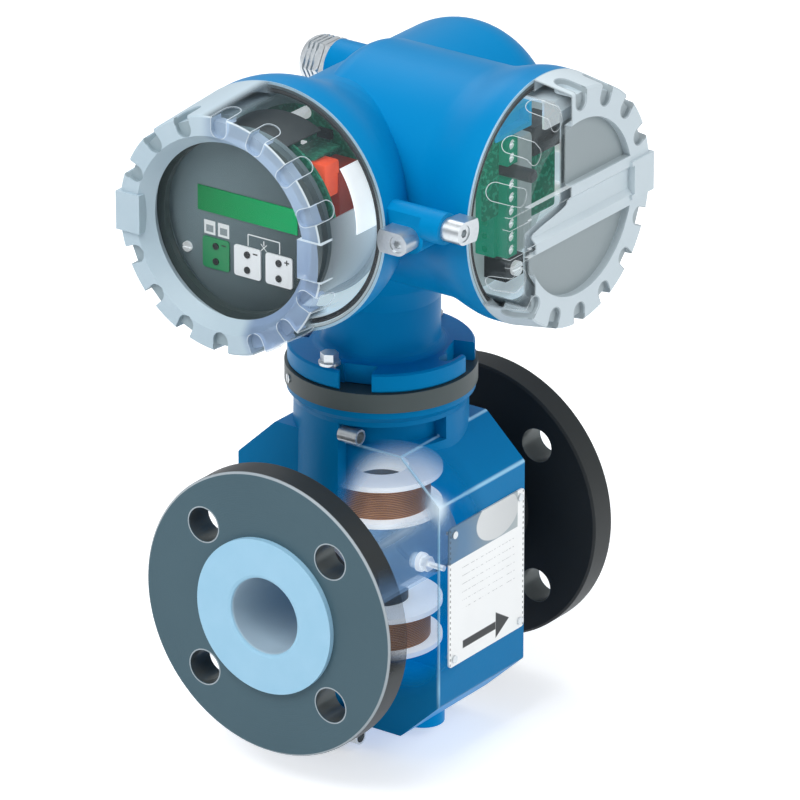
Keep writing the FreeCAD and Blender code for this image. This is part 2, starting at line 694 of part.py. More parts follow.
def base_notch_cutters():
    """Bayonet openings in the base: a wide notch, and an arc slot from it to the clamp screw."""
    cutters = []
    half = NOTCH_WIDTH / 2
    low, high = BASE_Z - 1, BASE_TOP + 1
    slot_half = CLAMP_SHANK_R + CLAMP_SLOT_PLAY
    for k in range(NOTCHES):
        angle = NOTCH_ANGLE + 360 / NOTCHES * k
        notch = box(V(NOTCH_FLOOR_R, -half, low), V(BASE_R + 2, half, high))
        notch.rotate(V(0, 0, 0), Z, angle)
        arc_points = [polar(CLAMP_R - slot_half, angle), polar(CLAMP_R + slot_half, angle)]
        slot = Part.Face(Part.makePolygon([arc_points[0] + Z * low, arc_points[1] + Z * low,
                                           arc_points[1] + Z * high, arc_points[0] + Z * high,
                                           arc_points[0] + Z * low]))
        slot = slot.revolve(V(0, 0, 0), Z, -BAYONET_TURN)
        end = rod(slot_half, polar(CLAMP_R, angle - BAYONET_TURN) + Z * low, Z, high - low)
        cutters.extend([notch, slot, end])
    return cutters


def neck_column():
    foot = [(COLUMN_R + COLUMN_FOOT * (1 - math.sin(math.pi / 2 * t / 5)),
             BASE_TOP + COLUMN_FOOT * (1 - math.cos(math.pi / 2 * t / 5))) for t in range(6)]
    profile = [(0, BASE_Z), (BASE_R - 1, BASE_Z), (BASE_R, BASE_Z + 1), (BASE_R, BASE_TOP - 1),
               (BASE_R - 1, BASE_TOP)] + foot
    crown = HEAD_Z - TERMINAL_BODY_R
    profile += [(COLUMN_R, crown - 14), (COLUMN_R + 4, crown - 3), (COLUMN_R + 13, crown + 9),
                (COLUMN_R + 13, crown + 20), (0, crown + 20)]
    return turned(profile)


def lock_bosses():
    """Round bosses for the two cover locks, each grown out of the neighbouring barrel."""
    display = rod(LOCK_BOSS_R, display_lock_axis() - X * DISPLAY_LOCK_SEAT, X, LOCK_BOSS_LENGTH)
    terminal = rod(LOCK_BOSS_R, terminal_lock_axis() - Y * TERMINAL_LOCK_SEAT, Y, LOCK_BOSS_LENGTH)
    claw_room = box(V(-RIM_R - DISPLAY_RIM, -LOCK_RADIUS - CLAW_R - 1, 0), V(-DISPLAY_LOCK_SEAT, 0, 2 * HEAD_Z))
    return [display, terminal.cut(claw_room)]


def display_lock_axis():
    return V(0, -LOCK_RADIUS, HEAD_Z)


def terminal_lock_axis():
    return V(-LOCK_RADIUS, 0, HEAD_Z + LOCK_TERMINAL_RISE)


def entry_axis(side):
    return V(ENTRY_X, 0, HEAD_Z + side * ENTRY_OFFSET_Z)


def transmitter_casting():
    head = V(0, 0, HEAD_Z)
    display = barrel_outside(DISPLAY_RIM, DISPLAY_BODY_R, DISPLAY_FLARE, DISPLAY_REAR, DISPLAY_ROUND)
    terminal = barrel_outside(TERMINAL_RIM, TERMINAL_BODY_R, TERMINAL_FLARE, TERMINAL_REAR, TERMINAL_ROUND)
    body = fused([placed(display, head, X * -1), placed(terminal, head, Y * -1), neck_column()])
    bosses = [rod(ENTRY_BOSS_R, entry_axis(side), Y, ENTRY_FACE_Y) for side in (1, -1)]
    body = fused([body] + bosses + lock_bosses())

    partition_front = PARTITION_X + PARTITION_T
    cutters = [placed(rim_bore(DISPLAY_RIM), head, X * -1), placed(rim_bore(TERMINAL_RIM), head, Y * -1)]
    display_bore = flared_bore(DISPLAY_RIM, DISPLAY_BODY_R, DISPLAY_FLARE, DISPLAY_BODY_R - DISPLAY_BORE_R,
                               DISPLAY_RIM - partition_front)
    cutters.append(placed(display_bore, head, X * -1))
    cutters.append(rod(TERMINAL_BORE_R, head - Y * TERMINAL_RIM, Y, LEDGE_DEPTH))
    behind_display = closed_bore(DISPLAY_BORE_R, PARTITION_X, DISPLAY_REAR - END_WALL, DISPLAY_ROUND - END_WALL)
    behind_terminals = closed_bore(TERMINAL_BORE_R - LEDGE_WIDTH, LEDGE_Y, TERMINAL_REAR - END_WALL,
                                   TERMINAL_ROUND - END_WALL)
    beyond = box(V(-PARTITION_X, -TERMINAL_RIM, 0), V(DISPLAY_REAR, RIM_R, 2 * HEAD_Z))
    cutters.append(placed(behind_display, head, X * -1))
    cutters.append(placed(behind_terminals, head, Y * -1).common(beyond))
    cutters.append(rod(COLUMN_BORE_R, V(0, 0, BASE_Z - 1), Z, HEAD_Z - BASE_Z))
    cutters.append(rod(FEED_BORE_R, V(-partition_front - 1, FEED_Y, HEAD_Z - FEED_DROP), X, PARTITION_T + 2))
    for side in (1, -1):
        cutters.append(rod(ENTRY_BORE_R + FIT_GAP, entry_axis(side), Y, ENTRY_FACE_Y + 1))
        cutters.append(rod(ENTRY_BOSS_R + 1, entry_axis(side) + Y * ENTRY_FACE_Y, Y, RIM_R))
    cutters.extend(base_notch_cutters())
    cutters.append(rod(LOCK_SCREW_R + FIT_GAP, display_lock_axis() - X * DISPLAY_LOCK_SEAT, X, LOCK_SCREW_GRIP + 1))
    cutters.append(rod(LOCK_SCREW_R + FIT_GAP, terminal_lock_axis() - Y * TERMINAL_LOCK_SEAT, Y, LOCK_SCREW_GRIP + 1))
    for angle in PILLAR_ANGLES:
        at = polar(PILLAR_PITCH_R, angle)
        cutters.append(rod(PILLAR_R / 2 + FIT_GAP, V(-partition_front, -at.x, HEAD_Z + at.y), X, PARTITION_T - 1))
    return without(body, cutters)


def column_slug():
    """All the space round the casting's base and column, up to the level that divides it."""
    return rod(BASE_R + 2, V(0, 0, BASE_Z - 1), Z, COLUMN_TOP - BASE_Z + 1)


# ---------------------------------------------------------------- covers

def grip_notches(length):
    """Pockets over the front corner of a cover, on every pitch but the two level ones."""
    half = GRIP_NOTCH_W / 2
    pockets = []
    for k in range(GRIP_PITCHES):
        angle = 360 / GRIP_PITCHES * k
        if k % (GRIP_PITCHES // 2) == 0:
            continue
        inner = COVER_FACE_R - GRIP_NOTCH_RADIAL + half
        low = length - GRIP_NOTCH_AXIAL + half
        face = box(V(inner, -half, length - GRIP_NOTCH_DEPTH), V(RIM_R + 2, half, length + 1))
        face_end = rod(half, V(inner, 0, length - GRIP_NOTCH_DEPTH), Z, GRIP_NOTCH_DEPTH + 1)
        floor_r = COVER_FACE_R - GRIP_NOTCH_DEPTH
        side = box(V(floor_r, -half, low), V(RIM_R + 2, half, length + 1))
        side_end = rod(half, V(floor_r, 0, low), X, RIM_R)
        pocket = face.fuse([face_end, side, side_end])
        pocket.rotate(V(0, 0, 0), Z, angle)
        pockets.append(pocket)
    return pockets


def cover_shell(length, inside):
    """Turned blank of a cover along +Z: threaded spigot below 0, cone above, given its inside."""
    spigot = [(COVER_SPIGOT_R, -THREAD_LENGTH), (THREAD_R - 1, -THREAD_LENGTH), (THREAD_R, -THREAD_LENGTH + 1),
              (THREAD_R, COVER_RIM_GAP), (RIM_R, COVER_RIM_GAP), (COVER_FACE_R + 0.6, length - 0.8),
              (COVER_FACE_R - 0.4, length)]
    return turned(spigot + inside)


def grip_lugs(length, inner_r, depth):
    lug = box(V(inner_r, -LUG_WIDTH / 2, length - depth), V(COVER_FACE_R + LUG_PROUD, LUG_WIDTH / 2, length + LUG_PROUD))
    other = lug.copy()
    other.rotate(V(0, 0, 0), Z, 180)
    return [lug, other]


def display_cover():
    length = DISPLAY_COVER_LENGTH
    glass_top = length - GLASS_LIP_DEPTH
    glass_low = glass_top - GLASS_T - GLASS_RING_T
    inside = [(RING_FACE_IN_R, length), (GLASS_VIEW_R, glass_top), (GLASS_R + FIT_GAP, glass_top),
              (GLASS_R + FIT_GAP, glass_low), (COVER_WALL_R, glass_low - 3), (COVER_WALL_R, COVER_RIM_GAP)]
    shell = cover_shell(length, inside)
    shell = fused([shell] + grip_lugs(length, LUG_IN_R + 1, GLASS_LIP_DEPTH))
    shell = without(shell, grip_notches(length))
    return placed(shell, V(-DISPLAY_RIM, 0, HEAD_Z), X * -1)


def display_glass():
    start = DISPLAY_COVER_LENGTH - GLASS_LIP_DEPTH - GLASS_T
    return rod(GLASS_R, V(-DISPLAY_RIM - start - FIT_GAP, 0, HEAD_Z), X * -1, GLASS_T - 2 * FIT_GAP)


def glass_retaining_ring():
    start = DISPLAY_COVER_LENGTH - GLASS_LIP_DEPTH - GLASS_T - GLASS_RING_T
    return tube(GLASS_R, GLASS_RING_IN_R, V(-DISPLAY_RIM - start, 0, HEAD_Z), X * -1, GLASS_RING_T)


def terminal_cover():
    """Closed cover: two half-round recesses leave a wide grip bar with a trough in it."""
    length = TERMINAL_COVER_LENGTH
    floor = length - TERMINAL_FACE_T
    inside = [(0, length), (0, floor), (COVER_WALL_R - 4, floor), (COVER_WALL_R, floor - 4),
              (COVER_WALL_R, COVER_RIM_GAP)]
    shell = cover_shell(length, inside)
    recess = rod(FACE_RECESS_R, V(0, 0, length - FACE_RECESS_DEPTH), Z, FACE_RECESS_DEPTH + 1)
    bar = box(V(-RIM_R, -BAR_WIDTH / 2, 0), V(RIM_R, BAR_WIDTH / 2, length + 1))
    shell = fused([shell] + grip_lugs(length, FACE_RECESS_R - 2, FACE_RECESS_DEPTH))
    half, floor_half = BAR_TROUGH_W / 2, BAR_TROUGH_W / 2 - BAR_TROUGH_DEPTH
    trough = Part.Face(Part.makePolygon([V(0, -half, length), V(0, -half, length + 5), V(0, half, length + 5),
                                         V(0, half, length), V(0, floor_half, length - BAR_TROUGH_DEPTH),
                                         V(0, -floor_half, length - BAR_TROUGH_DEPTH), V(0, -half, length)]))
    trough = trough.extrude(V(2 * FACE_RECESS_R, 0, 0))
    trough.translate(V(-FACE_RECESS_R, 0, 0))
    shell = without(shell, [recess.cut(bar), trough] + grip_notches(length))
    return placed(shell, V(0, -TERMINAL_RIM, HEAD_Z), Y * -1)


def cover_seal(rim, outward):
    """O-ring round the root of the cover's thread, in the seat of the rim."""
    ring = Part.makeTorus(THREAD_R + SEAL_GAP / 2 + SEAL_SECTION, SEAL_SECTION)
    depth = SEAL_SECTION + SEAL_GAP
    return placed(ring, V(0, 0, HEAD_Z) + outward * (rim - depth), outward)


# ---------------------------------------------------------------- cover locks

def lock_claw(axis_point, rim, outward, toward_rim):
    """Round claw with a blunt nose towards the cover; the nose clears the rim as it swings."""
    reach = LOCK_RADIUS - RIM_R - CLAW_GAP
    start = axis_point + outward * (rim + CLAW_AHEAD - CLAW_LENGTH)
    body = rod(CLAW_R, start, outward, CLAW_LENGTH)
    across = outward.cross(toward_rim)
    corners = [start + across * a + toward_rim * b for a, b in
               ((-CLAW_R, 0), (CLAW_R, 0), (CLAW_R, reach), (-CLAW_R, reach), (-CLAW_R, 0))]
    nose = Part.Face(Part.makePolygon(corners)).extrude(outward * CLAW_LENGTH)
    nose = nose.common(rod(reach, start, outward, CLAW_LENGTH))
    seat = start + outward * (CLAW_LENGTH - LOCK_SCREW_SEAT)
    return without(body.fuse(nose), [rod(LOCK_SCREW_R + FIT_GAP, start, outward, CLAW_LENGTH),
                                     rod(LOCK_SCREW_HEAD_R + 2 * FIT_GAP, seat, outward, LOCK_SCREW_SEAT)])


def lock_screw(axis_point, rim, outward):
    seat = axis_point + outward * (rim + CLAW_AHEAD - LOCK_SCREW_SEAT + FIT_GAP)
    shank_length = CLAW_LENGTH - LOCK_SCREW_SEAT + LOCK_SCREW_GRIP
    head = rod(LOCK_SCREW_HEAD_R, seat, outward, LOCK_SCREW_HEAD_T)
    shank = rod(LOCK_SCREW_R, seat, outward * -1, shank_length)
    socket = hexagon(LOCK_SOCKET_AF, seat + outward * (LOCK_SCREW_HEAD_T - LOCK_SOCKET_DEPTH), outward,
                     LOCK_SOCKET_DEPTH)
    return without(head.fuse(shank), [socket])


def terminal_claw_direction():
    toward = V(LOCK_RADIUS, 0, -LOCK_TERMINAL_RISE)
    return toward.normalize()


# ---------------------------------------------------------------- cable gland and plug

def gland_body():
    axis = entry_axis(1)
    spigot = rod(ENTRY_BORE_R, axis + Y * (ENTRY_FACE_Y - ENTRY_DEPTH), Y, ENTRY_DEPTH)
    collar = hexagon(GLAND_AF, axis + Y * ENTRY_FACE_Y, Y, GLAND_COLLAR_T)
    thread = rod(GLAND_THREAD_R, axis + Y * (ENTRY_FACE_Y + GLAND_COLLAR_T), Y, GLAND_THREAD_LENGTH)
    body = fused([spigot, collar, thread])
    return body.cut(rod(GLAND_BORE_R, axis, Y, 2 * ENTRY_FACE_Y))


def gland_nut_start():
    return ENTRY_FACE_Y + GLAND_COLLAR_T + GLAND_NUT_GAP


def gland_seal():
    start = ENTRY_FACE_Y + GLAND_COLLAR_T + GLAND_THREAD_LENGTH + SEAL_GAP
    return tube(GLAND_THREAD_R - SEAL_GAP, GLAND_SEAL_R, entry_axis(1) + Y * start, Y, GLAND_SEAL_T)


def gland_nut():
    """Hexagon nut with turned grooves round it and a rounded end."""
    axis = entry_axis(1)
    start = axis + Y * gland_nut_start()
    nut = hexagon(GLAND_AF, start, Y, GLAND_NUT_LENGTH)
    corner = GLAND_AF / math.sqrt(3)
    profile = [(0, 0), (corner - 0.8, 0), (corner, 1.2), (corner, GLAND_NUT_LENGTH - 4),
               (GLAND_AF / 2 - 1, GLAND_NUT_LENGTH), (0, GLAND_NUT_LENGTH)]
    nut = nut.common(placed(turned(profile), start, Y))
    grooves = []
    for k in range(GLAND_GROOVES):
        at = GLAND_NUT_LENGTH * (k + 1.2) / (GLAND_GROOVES + 2)
        grooves.append(tube(corner + 1, GLAND_AF / 2 - 0.4, start + Y * at, Y, GLAND_GROOVE_W))
    thread = rod(GLAND_THREAD_R + FIT_GAP, start, Y, GLAND_NUT_LENGTH - GLAND_NUT_LIP)
    mouth = rod(GLAND_BORE_R, start, Y, GLAND_NUT_LENGTH)
    return without(nut, grooves + [thread, mouth])


def entry_plug():
    axis = entry_axis(-1)
    spigot = rod(ENTRY_BORE_R, axis + Y * (ENTRY_FACE_Y - ENTRY_DEPTH), Y, ENTRY_DEPTH)
    return fused([spigot, hexagon(GLAND_AF, axis + Y * ENTRY_FACE_Y, Y, PLUG_HEAD_T)])


# ---------------------------------------------------------------- electronics module

PANEL_X = -DISPLAY_RIM - PANEL_U
PANEL_BACK_X = PANEL_X + PANEL_T
PARTITION_FACE_X = -PARTITION_X - PARTITION_T


def on_panel(across, up, x):
    """Point by its place as read from in front of the display: right is -Y."""
    return V(x, -across, HEAD_Z + up)


def module_box(size, at, back_x):
    """Block with (depth along X, width, height), its back on the plane x = back_x."""
    depth, width, height = size
    low = V(back_x - depth, -at[0] - width / 2, HEAD_Z + at[1] - height / 2)
    return box(low, low + V(depth, width, height))


def key_places():
    return [(KEY_PITCH * k, -KEY_DROP) for k in (-1, 0, 1)]


def pillar_points(x):
    return [on_panel(polar(PILLAR_PITCH_R, a).x, polar(PILLAR_PITCH_R, a).y, x) for a in PILLAR_ANGLES]


def display_panel():
    panel = rod(PANEL_R, V(PANEL_BACK_X, 0, HEAD_Z), X * -1, PANEL_T)
    window = module_box((PANEL_T, LCD_WIDTH, LCD_HEIGHT), (0, LCD_RISE), PANEL_BACK_X)
    cutters = [window]
    cutters += [rod(PANEL_SCREW_R / 2 + FIT_GAP, p, X, PANEL_T) for p in pillar_points(PANEL_X)]
    return without(panel, cutters)


def display_module():
    """Liquid-crystal display: the glass stands in the panel's window on a wider back."""
    front = module_box((PANEL_T + LCD_PROUD, LCD_WIDTH - 2 * FIT_GAP, LCD_HEIGHT - 2 * FIT_GAP),
                       (0, LCD_RISE), PANEL_BACK_X)
    back = module_box((3.0, LCD_WIDTH + 2 * LCD_FRAME, LCD_HEIGHT + 2 * LCD_FRAME), (0, LCD_RISE), PANEL_BACK_X + 3.0)
    return fused([front, back])


def key_pads():
    pads = []
    for across, up in key_places():
        pad = rounded_plate(KEY_SIZE, KEY_SIZE, KEY_PROUD, KEY_CORNER)
        pad = placed(pad, on_panel(across, up, PANEL_X), X * -1)
        eyes = [rod(KEY_EYE_R, on_panel(across, up + d, PANEL_X - KEY_PROUD), X, KEY_PROUD)
                for d in (-KEY_EYE_PITCH / 2, KEY_EYE_PITCH / 2)]
        pads.append(without(pad, eyes))
    return group(pads)


def key_sensors():
    eyes = []
    for across, up in key_places():
        for d in (-KEY_EYE_PITCH / 2, KEY_EYE_PITCH / 2):
            eyes.append(rod(KEY_EYE_R - FIT_GAP, on_panel(across, up + d, PANEL_X), X * -1, KEY_PROUD + 0.5))
    return group(eyes)


def display_board():
    x = PANEL_X + DISPLAY_BOARD_BACK
    board = rod(PANEL_R - 2, V(x, 0, HEAD_Z), X, BOARD_T)
    return without(board, [rod(PILLAR_R + FIT_GAP, p, X, BOARD_T) for p in pillar_points(x)])


def main_board():
    board = rod(MAIN_BOARD_R, V(-MAIN_BOARD_X, 0, HEAD_Z), X, BOARD_T)
    return without(board, [rod(PILLAR_R + FIT_GAP, p, X, BOARD_T) for p in pillar_points(-MAIN_BOARD_X)])


def module_pillars():
    """Steel pillars screwed into the partition; both boards and the panel stand on them."""
    pillars = []
    for foot, head in zip(pillar_points(PARTITION_FACE_X), pillar_points(PANEL_BACK_X)):
        column = rod(PILLAR_R, foot, X * -1, foot.x - head.x)
        stud = rod(PILLAR_R / 2, foot, X, PARTITION_T - 1.5)
        hole = rod(PANEL_SCREW_R / 2 + FIT_GAP, head, X, 6.0)
        pillars.append(without(column.fuse(stud), [hole]))
    return group(pillars)


def panel_screws():
    screw = slotted_screw(PANEL_SCREW_R, PANEL_SCREW_T, PANEL_SCREW_R / 2, PANEL_T + 5.0)
    return group([placed(screw, p, X * -1) for p in pillar_points(PANEL_X)])


def transformer():
    return module_box(TRANSFORMER, TRANSFORMER_AT, -MAIN_BOARD_X)


def relay():
    return module_box(RELAY, RELAY_AT, -MAIN_BOARD_X)


def capacitors():
    return group([rod(CAPACITOR_R, on_panel(a, u, -MAIN_BOARD_X), X * -1, CAPACITOR_LENGTH)
                  for a, u in CAPACITOR_AT])


def partition_bush():
    start = V(PARTITION_FACE_X - 2, FEED_Y, HEAD_Z - FEED_DROP)
    sleeve = rod(FEED_BORE_R - FIT_GAP, start, X, PARTITION_T + 2)
    collar = rod(FEED_BORE_R + 2, start, X, 2 - FIT_GAP)
    return without(sleeve.fuse(collar), [rod(FEED_BORE_R - 2, start, X, PARTITION_T + 2)])


# ---------------------------------------------------------------- terminal compartment

CARRIER_BACK_Y = -LEDGE_Y
CARRIER_FRONT_Y = -LEDGE_Y - CARRIER_T


def terminal_box(size, at, back_y):
    """Block with (width along X, height, depth along -Y), its back on the plane y = back_y."""
    width, height, depth = size
    low = V(at[0] - width / 2, back_y - depth, HEAD_Z + at[1] - height / 2)
    return box(low, low + V(width, depth, height))


def terminal_carrier():
    """Round plate on the ledge of the bore, open on the display side for the cables."""
    plate = rod(TERMINAL_BORE_R - CARRIER_GAP, V(0, CARRIER_BACK_Y, HEAD_Z), Y * -1, CARRIER_T)
    window = rod(CARRIER_WINDOW_R, V(0, CARRIER_BACK_Y + 1, HEAD_Z), Y * -1, CARRIER_T + 2)
    kept = terminal_box((2 * TERMINAL_BORE_R, 2 * TERMINAL_BORE_R, CARRIER_T + 2),
                        (CARRIER_WINDOW_SIDE + TERMINAL_BORE_R, 0), CARRIER_BACK_Y + 1)
    cutters = [window.cut(kept)]
    cutters += [rod(CLAMP_STUD_R + FIT_GAP, V(x, CARRIER_FRONT_Y, HEAD_Z + z), Y, CARRIER_T) for x, z in CLAMP_POST_AT]
    return without(plate, cutters)


def strip_heights(first, count):
    return [TERMINAL_BOTTOM + TERMINAL_PITCH * (first + k) for k in range(count)]


def terminal_places():
    upper = POST_PITCHES + 1
    return [strip_heights(0, LOWER_TERMINALS), strip_heights(upper, UPPER_TERMINALS)]


def terminal_strip(heights):
    """Moulded strip of screw terminals: a stepped bar with a screw well and a wire hole each."""
    height = len(heights) * TERMINAL_PITCH
    middle = sum(heights) / len(heights)
    step = TERMINAL_DEPTH - TERMINAL_STEP
    bar = terminal_box((TERMINAL_WIDTH, height, step), (TERMINAL_X, middle), CARRIER_FRONT_Y)
    top = terminal_box((TERMINAL_WIDTH * 0.6, height, TERMINAL_DEPTH), (TERMINAL_X, middle), CARRIER_FRONT_Y)
    cutters = []
    for z in heights:
        front = V(TERMINAL_X, CARRIER_FRONT_Y - TERMINAL_DEPTH, HEAD_Z + z)
        cutters.append(rod(TERMINAL_SCREW_R + 2 * FIT_GAP, front, Y, 2 * TERMINAL_SCREW_T))
        side = V(TERMINAL_X - TERMINAL_WIDTH / 2, CARRIER_FRONT_Y - step / 2, HEAD_Z + z)
        cutters.append(rod(WIRE_HOLE_R, side, X, TERMINAL_WIDTH / 3))
    return without(bar.fuse(top), cutters)


def terminal_strips():
    return group([terminal_strip(heights).cut(shield_post_rod(POST_HOLE_R)) for heights in terminal_places()])


def terminal_screws():
    screw = slotted_screw(TERMINAL_SCREW_R, TERMINAL_SCREW_T, TERMINAL_SCREW_R * 0.6, 0.5)
    y = CARRIER_FRONT_Y - TERMINAL_DEPTH + 2 * TERMINAL_SCREW_T - 0.5
    heights = sum(terminal_places(), [])
    return group([placed(screw, V(TERMINAL_X, y, HEAD_Z + z), Y * -1) for z in heights])


def shield_post_rod(radius):
    z = TERMINAL_BOTTOM + TERMINAL_PITCH * POST_PITCHES
    return rod(radius, V(TERMINAL_X, CARRIER_FRONT_Y, HEAD_Z + z), Y * -1, POST_LENGTH)


def shield_post():
    """Black moulded post between the two strips, which holds the cable shields."""
    post = shield_post_rod(POST_R)
    tip = [e for e in post.Edges if e.BoundBox.YMax < CARRIER_FRONT_Y - POST_LENGTH + 0.1]
    return post.makeChamfer(1.0, tip)


def signal_connector():
    block = terminal_box(CONNECTOR, CONNECTOR_AT, CARRIER_FRONT_Y)
    socket = terminal_box((CONNECTOR[0] - 4, CONNECTOR[1] - 5, 6.0), CONNECTOR_AT, CARRIER_FRONT_Y - CONNECTOR[2] + 6.0)
    return block.cut(socket)


def fuse_holder():
    block = terminal_box(RELAY_BOX, RELAY_BOX_AT, CARRIER_FRONT_Y)
    slot = terminal_box((RELAY_BOX[0] - 6, 5.0, 3.0), RELAY_BOX_AT, CARRIER_FRONT_Y - RELAY_BOX[2] + 3.0)
    return block.cut(slot)


def terminal_board():
    return terminal_box(SIDE_BOARD, SIDE_BOARD_AT, CARRIER_FRONT_Y)


def cable_clamp_posts():
    """Posts on the carrier plate, each with a nut on its threaded end."""
    posts = []
    for x, z in CLAMP_POST_AT:
        foot = V(x, CARRIER_FRONT_Y, HEAD_Z + z)
        post = rod(CLAMP_POST_R, foot, Y * -1, CLAMP_POST_LENGTH)
        nut = hexagon(CLAMP_NUT_AF, foot - Y * CLAMP_POST_LENGTH, Y * -1, CLAMP_NUT_T)
        stud = rod(CLAMP_STUD_R, foot + Y * CARRIER_T, Y * -1,
                   CARRIER_T + CLAMP_POST_LENGTH + CLAMP_NUT_T + CLAMP_STUD_END)
        posts.append(fused([post, nut, stud]))
    return group(posts)


def ground_point():
    return V(GROUND_AT[0], CARRIER_FRONT_Y - GROUND_BLOCK[2], HEAD_Z + GROUND_AT[1])


def ground_terminal():
    block = terminal_box(GROUND_BLOCK, GROUND_AT, CARRIER_FRONT_Y)
    return block.cut(rod(GROUND_SCREW_R / 2 + FIT_GAP, ground_point(), Y, GROUND_SCREW_DEPTH + 1))


def ground_screw():
    screw = slotted_screw(GROUND_SCREW_R, GROUND_SCREW_T, GROUND_SCREW_R / 2, GROUND_SCREW_DEPTH)
    return placed(screw, ground_point(), Y * -1)


# ---------------------------------------------------------------- all nodes

def nodes():
    minus_x, minus_y = X * -1, Y * -1
    casting = transmitter_casting()
    return {
        "measuring_tube": measuring_tube(),
        "liner": liner(),
        "inlet_flange": flange(minus_x),
        "outlet_flange": flange(X),
        "electrodes": both_sides(electrode),
        "electrode_bushes": both_sides(electrode_bush),
        "electrode_nuts": both_sides(electrode_nut),
        "upper_coil_bobbin": coil_bobbin(Z),
        "upper_coil_winding": coil_winding(Z),
        "upper_pole_core": pole_core(Z),
        "lower_coil_bobbin": coil_bobbin(Z * -1),
        "lower_coil_winding": coil_winding(Z * -1),
        "lower_pole_core": pole_core(Z * -1),
        "sensor_housing": sensor_housing(),
        "earth_terminals": earth_terminals(),
        "rating_plate": rating_plate(),
        "rating_plate_rivets": rating_plate_rivets(),
        "neck_ring": neck_ring(),
        "neck_seal": neck_seal(),
        "ring_set_screw": ring_set_screw(),
        "head_clamp_screws": head_clamp_screws(),
        "transmitter_column": casting.common(column_slug()),
        "transmitter_housing": casting.cut(column_slug()),
        "partition_bush": partition_bush(),
        "module_pillars": module_pillars(),
        "main_board": main_board(),
        "transformer": transformer(),
        "relay": relay(),
        "capacitors": capacitors(),
        "display_board": display_board(),
        "display_panel": display_panel(),
        "display_module": display_module(),
        "key_pads": key_pads(),
        "key_sensors": key_sensors(),
        "panel_screws": panel_screws(),
        "terminal_carrier": terminal_carrier(),
        "cable_clamp_posts": cable_clamp_posts(),
        "terminal_strips": terminal_strips(),
        "shield_post": shield_post(),
        "terminal_board": terminal_board(),
        "terminal_screws": terminal_screws(),
        "fuse_holder": fuse_holder(),
        "signal_connector": signal_connector(),
        "ground_terminal": ground_terminal(),
        "ground_screw": ground_screw(),
        "gland_body": gland_body(),
        "gland_seal": gland_seal(),
        "gland_nut": gland_nut(),
        "entry_plug": entry_plug(),
        "display_cover": display_cover(),
        "display_glass": display_glass(),
        "glass_retaining_ring": glass_retaining_ring(),
        "display_cover_seal": cover_seal(DISPLAY_RIM, minus_x),
        "terminal_cover": terminal_cover(),
        "terminal_cover_seal": cover_seal(TERMINAL_RIM, minus_y),
        "display_lock_claw": lock_claw(display_lock_axis(), DISPLAY_RIM, minus_x, Y),
        "display_lock_screw": lock_screw(display_lock_axis(), DISPLAY_RIM, minus_x),
        "terminal_lock_claw": lock_claw(terminal_lock_axis(), TERMINAL_RIM, minus_y, terminal_claw_direction()),
        "terminal_lock_screw": lock_screw(terminal_lock_axis(), TERMINAL_RIM, minus_y),
    }


os.makedirs("parts", exist_ok=True)
for name, shape in nodes().items():
    shape.exportStep("parts/" + name + ".step")
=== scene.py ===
import math

import bmesh
import bpy
import numpy as np
from mathutils import Matrix, Vector


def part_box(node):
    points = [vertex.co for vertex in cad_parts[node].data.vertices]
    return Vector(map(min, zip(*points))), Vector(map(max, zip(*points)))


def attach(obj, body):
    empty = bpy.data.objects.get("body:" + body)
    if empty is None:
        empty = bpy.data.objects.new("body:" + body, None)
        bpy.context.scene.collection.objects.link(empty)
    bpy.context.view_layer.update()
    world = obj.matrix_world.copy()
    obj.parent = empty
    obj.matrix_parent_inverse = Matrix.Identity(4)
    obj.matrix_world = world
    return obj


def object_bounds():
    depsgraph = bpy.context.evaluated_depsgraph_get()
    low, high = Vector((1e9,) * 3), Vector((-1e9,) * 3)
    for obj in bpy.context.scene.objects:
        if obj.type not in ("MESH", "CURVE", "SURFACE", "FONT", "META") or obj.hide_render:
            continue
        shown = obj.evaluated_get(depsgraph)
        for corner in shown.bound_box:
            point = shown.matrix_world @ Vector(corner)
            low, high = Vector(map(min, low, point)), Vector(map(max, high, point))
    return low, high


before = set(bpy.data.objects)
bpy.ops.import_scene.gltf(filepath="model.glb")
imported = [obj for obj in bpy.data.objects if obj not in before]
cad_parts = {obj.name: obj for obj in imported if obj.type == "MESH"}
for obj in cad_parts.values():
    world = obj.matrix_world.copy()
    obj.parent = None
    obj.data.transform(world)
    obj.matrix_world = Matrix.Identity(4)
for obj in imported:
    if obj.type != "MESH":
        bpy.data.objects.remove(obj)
CAD_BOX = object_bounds()


# ---- Camera ----
# A long lens, four metres away, looks down on the inlet flange and on the edge between
# the inlet side and the plate side of the meter.

AZIMUTH, ELEVATION = math.radians(-54.31), math.radians(23.06)
DISTANCE = 4.0
SIDEWAYS, UPWARD = 0.0094, 0.0757
LENS_MM, SENSOR_MM = 356.6, 36.0
back = Vector((math.sin(AZIMUTH) * math.cos(ELEVATION), -math.cos(AZIMUTH) * math.cos(ELEVATION),
               math.sin(ELEVATION)))
right = Vector((math.cos(AZIMUTH), math.sin(AZIMUTH), 0))
up = back.cross(right)

camera = bpy.data.objects.new("camera", bpy.data.cameras.new("camera"))
bpy.context.scene.collection.objects.link(camera)
camera.data.sensor_width = SENSOR_MM
camera.data.lens = LENS_MM
camera.data.clip_end = 50.0
camera.matrix_world = Matrix((right, up, back)).transposed().to_4x4()
camera.location = back * DISTANCE + right * SIDEWAYS + up * UPWARD
bpy.context.scene.camera = camera
bpy.context.scene.view_settings.view_transform = "Standard"
